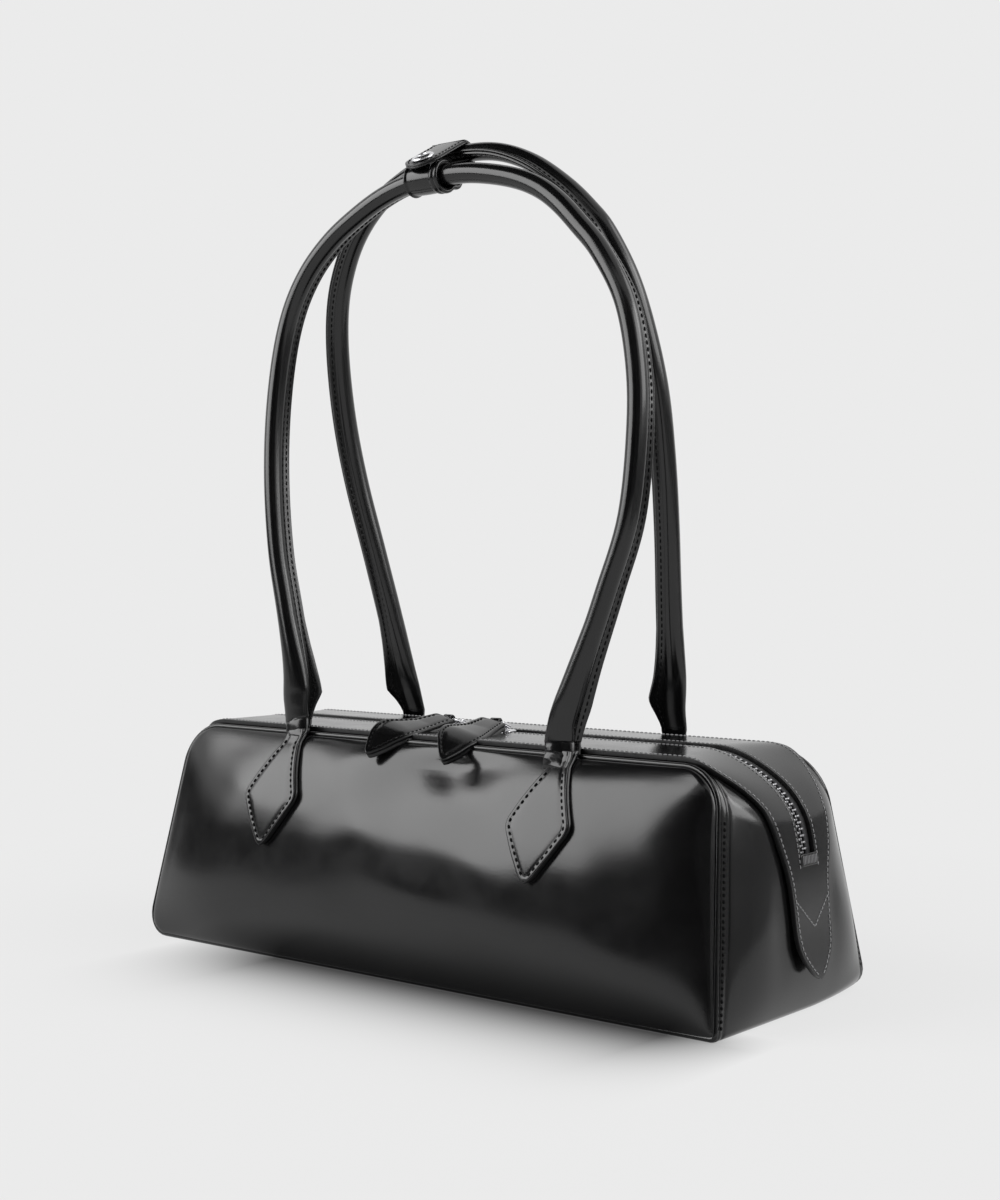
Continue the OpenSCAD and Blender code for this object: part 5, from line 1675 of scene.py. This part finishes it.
def make_sleeve(form, plan):
    """Sleeve of leather round the front handle and its lip, with raised rims at its ends."""
    theta = np.linspace(0, 2 * math.pi, 64, endpoint=False)

    def section(inset):
        """One ring of the sleeve: a circle round the handle, drawn out round its lip."""
        big, small = plan.sleeve_r - inset, plan.lip_wrap - inset
        c, s = np.cos(theta), np.abs(np.sin(theta))
        flank = np.where(c > 0, small / np.maximum(s, 1e-6), 0)
        round_lip = np.sqrt(np.maximum(small ** 2 - (plan.lip_reach * s) ** 2, 0))
        tip = np.where(c > 0, plan.lip_reach * c + round_lip, 0)
        neck = np.where(flank * c > plan.lip_reach, tip, np.minimum(flank, 1.0))
        rho = (big ** 14 + neck ** 14) ** (1 / 14)
        return rho * np.cos(theta - plan.lean), rho * np.sin(theta - plan.lean)

    w = form.h.keeper_w / 2
    walk = [(step * MM - w, inset) for step, inset in SLEEVE_LEFT]
    walk += [(x * MM, -0.12 * math.sin(math.pi * (x + 8) / 12.5)) for x in np.linspace(-8, 4.5, 12)]
    walk += [(w - step * MM, inset) for step, inset in SLEEVE_RIGHT]
    walk = [(x, inset * MM) for x, inset in walk]
    walk += [(x, KEEPER_T) for x in np.linspace(w - 0.1 * MM, -w + 0.2 * MM, 14)]
    verts, faces = tube_mesh([plan.at(plan.front, *section(inset), x) for x, inset in walk], loop=True)
    obj = piece("keeper_sleeve_leather", verts, faces, finish_of("leather"))
    dress(obj, "front_handle", ["keeper_sleeve"])


def make_strap(form, plan):
    """Strap from the sleeve round the back handle, up to the flap's fold."""
    t = KEEPER_T
    width = form.h.keeper_w / 2 - 2 * MM - LAY
    r = plan.back_lift + t / 2
    gap = math.asin((t / 2 + KEEPER_GAP) / plan.back_lift)
    first = plan.strap_tilt - math.pi / 2
    last = first + plan.flap_tilt - plan.strap_tilt + math.pi - gap
    c, s = math.cos(plan.strap_tilt), math.sin(plan.strap_tilt)
    run = np.linspace(-plan.strap_run, 0, 16)[:-1]
    straight = np.stack([run * c + r * s, run * s - r * c], -1)
    a = np.linspace(first, last, 34)
    line = np.concatenate([straight, np.stack([r * np.cos(a), r * np.sin(a)], -1)])
    steps = run_along(line)
    along = unit(np.gradient(line, axis=0))
    out = np.stack([along[:, 1], -along[:, 0]], -1)

    def grid_at(inset, level):
        at = mix(inset, steps[-1] - inset, steps / steps[-1])
        p = read_along(at, steps, line) + unit(read_along(at, steps, out)) * (level - t / 2)
        b = np.linspace(-1, 1, 13)[None] * (width - inset)
        return plan.at(plan.back, p[:, :1] + 0 * b, p[:, 1:] + 0 * b, b + 0 * p[:, :1])

    profile = [(0.3 * MM, 0), (0.05 * MM, 0.15 * MM), (0, 0.4 * MM)]
    profile += [(inset, t - level) for inset, level in reversed(profile)]
    leather("keeper_strap_leather", slab(grid_at, profile), "front_handle", "keeper_strap")


# Section of the snap's ring-shaped cap, in mm: height over the flap and radius.
SNAP_CAP = [
    (-0.3, 2.2), (0.9, 2.2), (1.2, 2.35), (1.4, 2.7), (1.4, 3.4), (1.25, 4.2), (0.85, 4.9), (0.4, 5.35), (0.1, 5.5),
    (-0.1, 5.4), (-0.15, 4.0), (-0.2, 3.0),
]


def make_flap(form, plan):
    """Flap over the sleeve: two thin layers with a round front, thread round it and the cap of its snap."""
    w = form.h.keeper_w / 2
    reach = plan.flap_run + 8 * MM
    turn = reach - w
    along = np.concatenate([np.linspace(0, turn, 26)[:-1], turn + w * np.sin(np.linspace(0, math.pi / 2, 20))])
    half = np.where(along < turn, w, np.sqrt(np.maximum(w * w - (along - turn) ** 2, (0.6 * MM) ** 2)))

    def place(a, b, level):
        droop = 1.1 * MM * clamp((a - plan.flap_run) / (8 * MM)) ** 2 + 0.25 * MM * (b / w) ** 2
        return plan.on_flap(plan.back, -a, plan.back_lift + level - droop, b)

    flap = slab(outline_grid(along, half, place, 21), edge_profile(KEEPER_T, 0.7))
    root = lathe([(-w, 0.55 * MM), (0.2 * MM - w, 0.75 * MM), (w - 0.2 * MM, 0.75 * MM), (w, 0.55 * MM)], 20)
    root = plan.on_flap(plan.back, root[..., 1], plan.back_lift + KEEPER_T / 2 + root[..., 2], root[..., 0])
    leather("keeper_flap_leather", join([flap, tube_mesh(root)]), "keeper", "keeper_flap")
    sew("stitches_keeper_flap", outline_stitches(
        along, half, place, KEEPER_T + 0.1 * MM, inset=1.7 * MM, pitch=2.6 * MM, stitch=1.8 * MM, thick=0.5 * MM,
    ), "keeper")
    cap = lathe([(up * MM, r * MM) for up, r in SNAP_CAP], 40)
    base = plan.flap_lift + KEEPER_T + 0.05 * MM
    verts, faces = tube_mesh(plan.on_flap(plan.front, cap[..., 1], base + cap[..., 0], cap[..., 2]), loop=True)
    obj = piece("snap_cap_metal", verts, faces, finish_of("metal"))
    dress(obj, "keeper", ["snap_cap"])


def finish_kept_nodes():
    """Materials for the frame's own pieces that stay: they are inside the bag, the handles and the snap."""
    kept = {
        "base_board": "board", "snap_socket": "metal", "snap_stud": "metal",
        "handle_front_core": "core", "handle_back_core": "core",
    }
    for node, name in kept.items():
        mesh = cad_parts[node].data
        mesh.materials.clear()
        mesh.materials.append(finish_of(name))


# Stage

# Level of the pale backdrop in the picture, and of the light that the room throws on the bag.
BACKDROP, ROOM = 0.831, 0.28

# The picture's camera: its place, how far it looks down and how far it is turned, in degrees, and its lens in mm.
CAMERA_PLACE, CAMERA_DIP, CAMERA_TURN, CAMERA_LENS = (0.5552, -0.6682, 0.1902), 1.43, 39.18, 55.71

# Name, place, aim, width, height and strength of the soft lights.
SOFTBOXES = [
    ("front_softbox", (-0.760, -0.906, 0.77), (0, 0, 0.06), 1.12, 0.99, 4.0),
    ("front_softbox_core", (-0.760, -0.906, 0.77), (0, 0, 0.06), 0.80, 0.66, 1.7),
    ("back_softbox", (0.9, 0.7, 1.1), (0, 0, 0.1), 0.7, 0.7, 2.5),
    ("right_softbox", (1.18, 0.27, 0.76), (0, 0, 0.06), 0.95, 0.68, 4.0),
]
# Name, place, aim, width, height and shade of the dark cards that only the leather mirrors.
CARDS = [
    ("front_card", (0.09, -1.75, 0.66), (0, 0, 0.60), 1.42, 1.22, 0.02),
    ("middle_card", (-0.80, -1.60, 0.26), (0, 0, 0.22), 0.62, 0.42, 0.02),
    ("low_card", (-1.62, -0.90, 0.235), (0, 0, 0.22), 1.9, 0.22, 0.02),
    ("camera_card", (1.07, -1.32, 0.86), (0, 0, 0.30), 1.45, 1.6, 0.10),
    ("ceiling_card", (-0.30, -0.40, 1.75), (0, 0, 0.06), 2.2, 1.6, 0.02),
    ("right_card", (0.944, -0.108, 0.150), (0, 0, 0.15), 0.84, 0.30, 0.35),
    ("end_card", (0.722, 0.617, 0.150), (0, 0, 0.15), 0.84, 0.30, 0.35),
]


def rectangle(scene, name, wide, high):
    """Flat rectangle in its own plane, as a part of the stage."""
    mesh = bpy.data.meshes.new(name)
    corners = [(x * wide / 2, y * high / 2, 0) for x, y in ((-1, -1), (1, -1), (1, 1), (-1, 1))]
    mesh.from_pydata(corners, [], [(0, 1, 2, 3)])
    flat = bpy.data.objects.new(name, mesh)
    scene.collection.objects.link(flat)
    return flat


def point_at(obj, place, aim):
    """Sets an object in its place, with its face or its light turned to its aim."""
    obj.location = place
    obj.rotation_euler = (Vector(aim) - Vector(place)).to_track_quat("-Z", "Y").to_euler()


def softbox(scene, name, place, aim, wide, high, radiance):
    """Rectangular light of an even brightness."""
    data = bpy.data.lights.new(name, "AREA")
    data.shape, data.size, data.size_y = "RECTANGLE", wide, high
    data.energy = radiance * math.pi * wide * high
    lamp = bpy.data.objects.new(name, data)
    scene.collection.objects.link(lamp)
    point_at(lamp, place, aim)


def dark_card(scene, name, place, aim, wide, high, shade):
    """Felt card beside the picture, there only to be mirrored."""
    card = rectangle(scene, name, wide, high)
    point_at(card, place, aim)
    felt = Finish(name + "_felt", IOR=1.4, Specular_IOR_Level=0.1)
    nap = felt.noise(200, 3)
    felt.feed(Base_Color=felt.two_colours(nap, (shade,) * 3, (shade * 1.3,) * 3), Roughness=0.95)
    card.data.materials.append(felt.material)
    card.visible_camera = card.visible_shadow = card.visible_diffuse = False


def floor_paper():
    """Pale paper that melts into the backdrop behind. The glow that camera and mirror rays see on it carries a painted
    soft shadow in front of the bag, shaped like that of a light from behind.
    """
    paper = Finish("floor_paper", IOR=1.45)
    fibre = paper.noise(400, 4, 0.6)
    paper.feed(
        Base_Color=paper.two_colours(fibre, (0.80, 0.80, 0.80), (0.82, 0.82, 0.82)),
        Roughness=paper.ranged(fibre, 0.3, 0.7, 0.85, 0.95),
    )
    x, y, _ = paper.axes()
    # Painted shadow: the glow darkens towards the bag's front edge, and fades out past the bag's ends and behind its
    # front.
    ahead = (y * -1 - 0.060).at_least(0.0) / 0.0425
    reach = 1 - (ahead ** 1.6 * -1).exp()
    beside = paper.ranged(x, 0.145, 0.190).at_least(paper.ranged(x, -0.075, -0.140))
    behind = paper.ranged(y, -0.062, -0.040)
    bare = 1 - (1 - beside) * (1 - behind)
    painted_shadow_level = (reach * (1 - bare) + bare) * BACKDROP
    # The glow that camera and mirror rays see, with the painted shadow in it.
    glow = paper.node("ShaderNodeEmission", inputs={
        "Color": paper.two_colours(painted_shadow_level, (0, 0, 0), (1, 1, 1)), "Strength": 1.0,
    })
    away = paper.ranged((x * x + y * y).root(), 0.18, 0.45, 0.86, 1.0)
    shader = Wire(paper.tree, paper.shader.outputs[0])
    share = away * paper.rays("Camera", "Glossy")
    both = paper.node("ShaderNodeMixShader", inputs={0: share, 1: shader, 2: glow})
    plug(paper.tree, paper.tree.nodes["Material Output"].inputs["Surface"], both)
    return paper.material


def make_stage(scene):
    """Pale floor and backdrop, soft lights, dark cards, and the camera of the picture."""
    rectangle(scene, "floor", 6.0, 6.0).data.materials.append(floor_paper())
    world = bpy.data.worlds.new("studio")
    scene.world = world
    world.use_nodes = True
    room = Nodes(world.node_tree)
    back = room.tree.nodes["Background"]
    back.inputs["Strength"].default_value = 1.0
    shown = room.rays("Camera", "Glossy", "Transmission")
    plug(room.tree, back.inputs["Color"], room.two_colours(shown, (ROOM,) * 3, (BACKDROP,) * 3))
    for light in SOFTBOXES:
        softbox(scene, *light)
    for card in CARDS:
        dark_card(scene, *card)

    data = bpy.data.cameras.new("camera")
    camera = bpy.data.objects.new("camera", data)
    scene.collection.objects.link(camera)
    camera.location = CAMERA_PLACE
    camera.rotation_euler = (math.radians(90 - CAMERA_DIP), 0, math.radians(CAMERA_TURN))
    data.lens, data.sensor_width, data.sensor_fit = CAMERA_LENS, 36, "AUTO"
    data.clip_start, data.clip_end = 0.01, 20
    data.dof.use_dof = False
    scene.camera = camera
    scene.view_settings.view_transform = "Standard"


# Operators

class BagOperator:
    """Makes one group of pieces from the sizes in the scene."""
    bl_options = {"REGISTER", "UNDO"}

    def execute(self, context):
        self.make(Form(context.scene))
        return {"FINISHED"}


class BAG_OT_panels(BagOperator, bpy.types.Operator):
    """Make the front and back panels and their piping"""
    bl_idname = "bag.panels"
    bl_label = "Panels and Piping"

    def make(self, form):
        for side in (-1, 1):
            make_panel(form, side)
            make_piping(form, side)


class BAG_OT_ends(BagOperator, bpy.types.Operator):
    """Make the two end gussets with their thread"""
    bl_idname = "bag.ends"
    bl_label = "End Gussets"

    def make(self, form):
        for end in (-1, 1):
            make_gusset(form, end)
            gusset_stitches(form, end)


class BAG_OT_base(BagOperator, bpy.types.Operator):
    """Make the base panel and the lining"""
    bl_idname = "bag.base"
    bl_label = "Base and Lining"

    def make(self, form):
        make_base(form)
        make_lining(form)


class BAG_OT_zip_strip(BagOperator, bpy.types.Operator):
    """Make the strip that holds the zip, its thread and the patches at the slot's ends"""
    bl_idname = "bag.zip_strip"
    bl_label = "Zip Strip"

    def make(self, form):
        make_strip(form)
        make_strip_stitches(form)
        for end in (-1, 1):
            make_patch(form, end)


class BAG_OT_zip(BagOperator, bpy.types.Operator):
    """Make the zip's tapes and teeth"""
    bl_idname = "bag.zip"
    bl_label = "Zip Tapes and Teeth"

    def make(self, form):
        for side in (-1, 1):
            make_tape(form, side)
            make_teeth(form, side)


class BAG_OT_sliders(BagOperator, bpy.types.Operator):
    """Make the sliders, their wire rings and the leather pulls"""
    bl_idname = "bag.sliders"
    bl_label = "Sliders and Pulls"

    def make(self, form):
        for end in (-1, 1):
            make_slider(form, end)
            make_ring(form, end)
            make_pull(form, end)


class BAG_OT_tabs(BagOperator, bpy.types.Operator):
    """Make the four pointed tabs"""
    bl_idname = "bag.tabs"
    bl_label = "Tabs"

    def make(self, form):
        for side in (-1, 1):
            for end in (-1, 1):
                make_tab(form, side, end)


class BAG_OT_handles(BagOperator, bpy.types.Operator):
    """Make the two rolled handles"""
    bl_idname = "bag.handles"
    bl_label = "Handles"

    def make(self, form):
        for side in (-1, 1):
            make_handle(form, side)


class BAG_OT_keeper(BagOperator, bpy.types.Operator):
    """Make the keeper: sleeve, strap, flap and the cap of its snap"""
    bl_idname = "bag.keeper"
    bl_label = "Keeper"

    def make(self, form):
        plan = KeeperPlan(form)
        make_sleeve(form, plan)
        make_strap(form, plan)
        make_flap(form, plan)
        finish_kept_nodes()


class BAG_OT_stage(BagOperator, bpy.types.Operator):
    """Make the floor, the lights and the camera"""
    bl_idname = "bag.stage"
    bl_label = "Stage"

    def make(self, form):
        make_stage(bpy.context.scene)


OPERATORS = (
    BAG_OT_panels, BAG_OT_ends, BAG_OT_base, BAG_OT_zip_strip, BAG_OT_zip, BAG_OT_sliders, BAG_OT_tabs,
    BAG_OT_handles, BAG_OT_keeper, BAG_OT_stage,
)
GROUPS = {"bag_body": BagBodySizes, "bag_zip": BagZipSizes, "bag_handles": BagHandleSizes, "bag_looks": BagLooks}


class BAG_PT_panel(bpy.types.Panel):
    """Sizes, colours and steps of the bag"""
    bl_label = "Shoulder Bag"
    bl_idname = "BAG_PT_panel"
    bl_space_type = "VIEW_3D"
    bl_region_type = "UI"
    bl_category = "Bag"

    def draw(self, context):
        for key, group in GROUPS.items():
            box = self.layout.box()
            box.label(text=key.replace("_", " ").title())
            for name in group.__annotations__:
                box.prop(getattr(context.scene, key), name)
        for operator in OPERATORS:
            self.layout.operator(operator.bl_idname)


def register():
    for cls in (*GROUPS.values(), *OPERATORS, BAG_PT_panel):
        bpy.utils.register_class(cls)
    for key, group in GROUPS.items():
        setattr(bpy.types.Scene, key, bpy.props.PointerProperty(type=group))


def unregister():
    for key in GROUPS:
        delattr(bpy.types.Scene, key)
    for cls in reversed((*GROUPS.values(), *OPERATORS, BAG_PT_panel)):
        bpy.utils.unregister_class(cls)


def main():
    """Registers the panel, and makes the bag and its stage."""
    register()
    for operator in OPERATORS:
        family, name = operator.bl_idname.split(".")
        getattr(getattr(bpy.ops, family), name)()


if __name__ == "__main__":
    main()
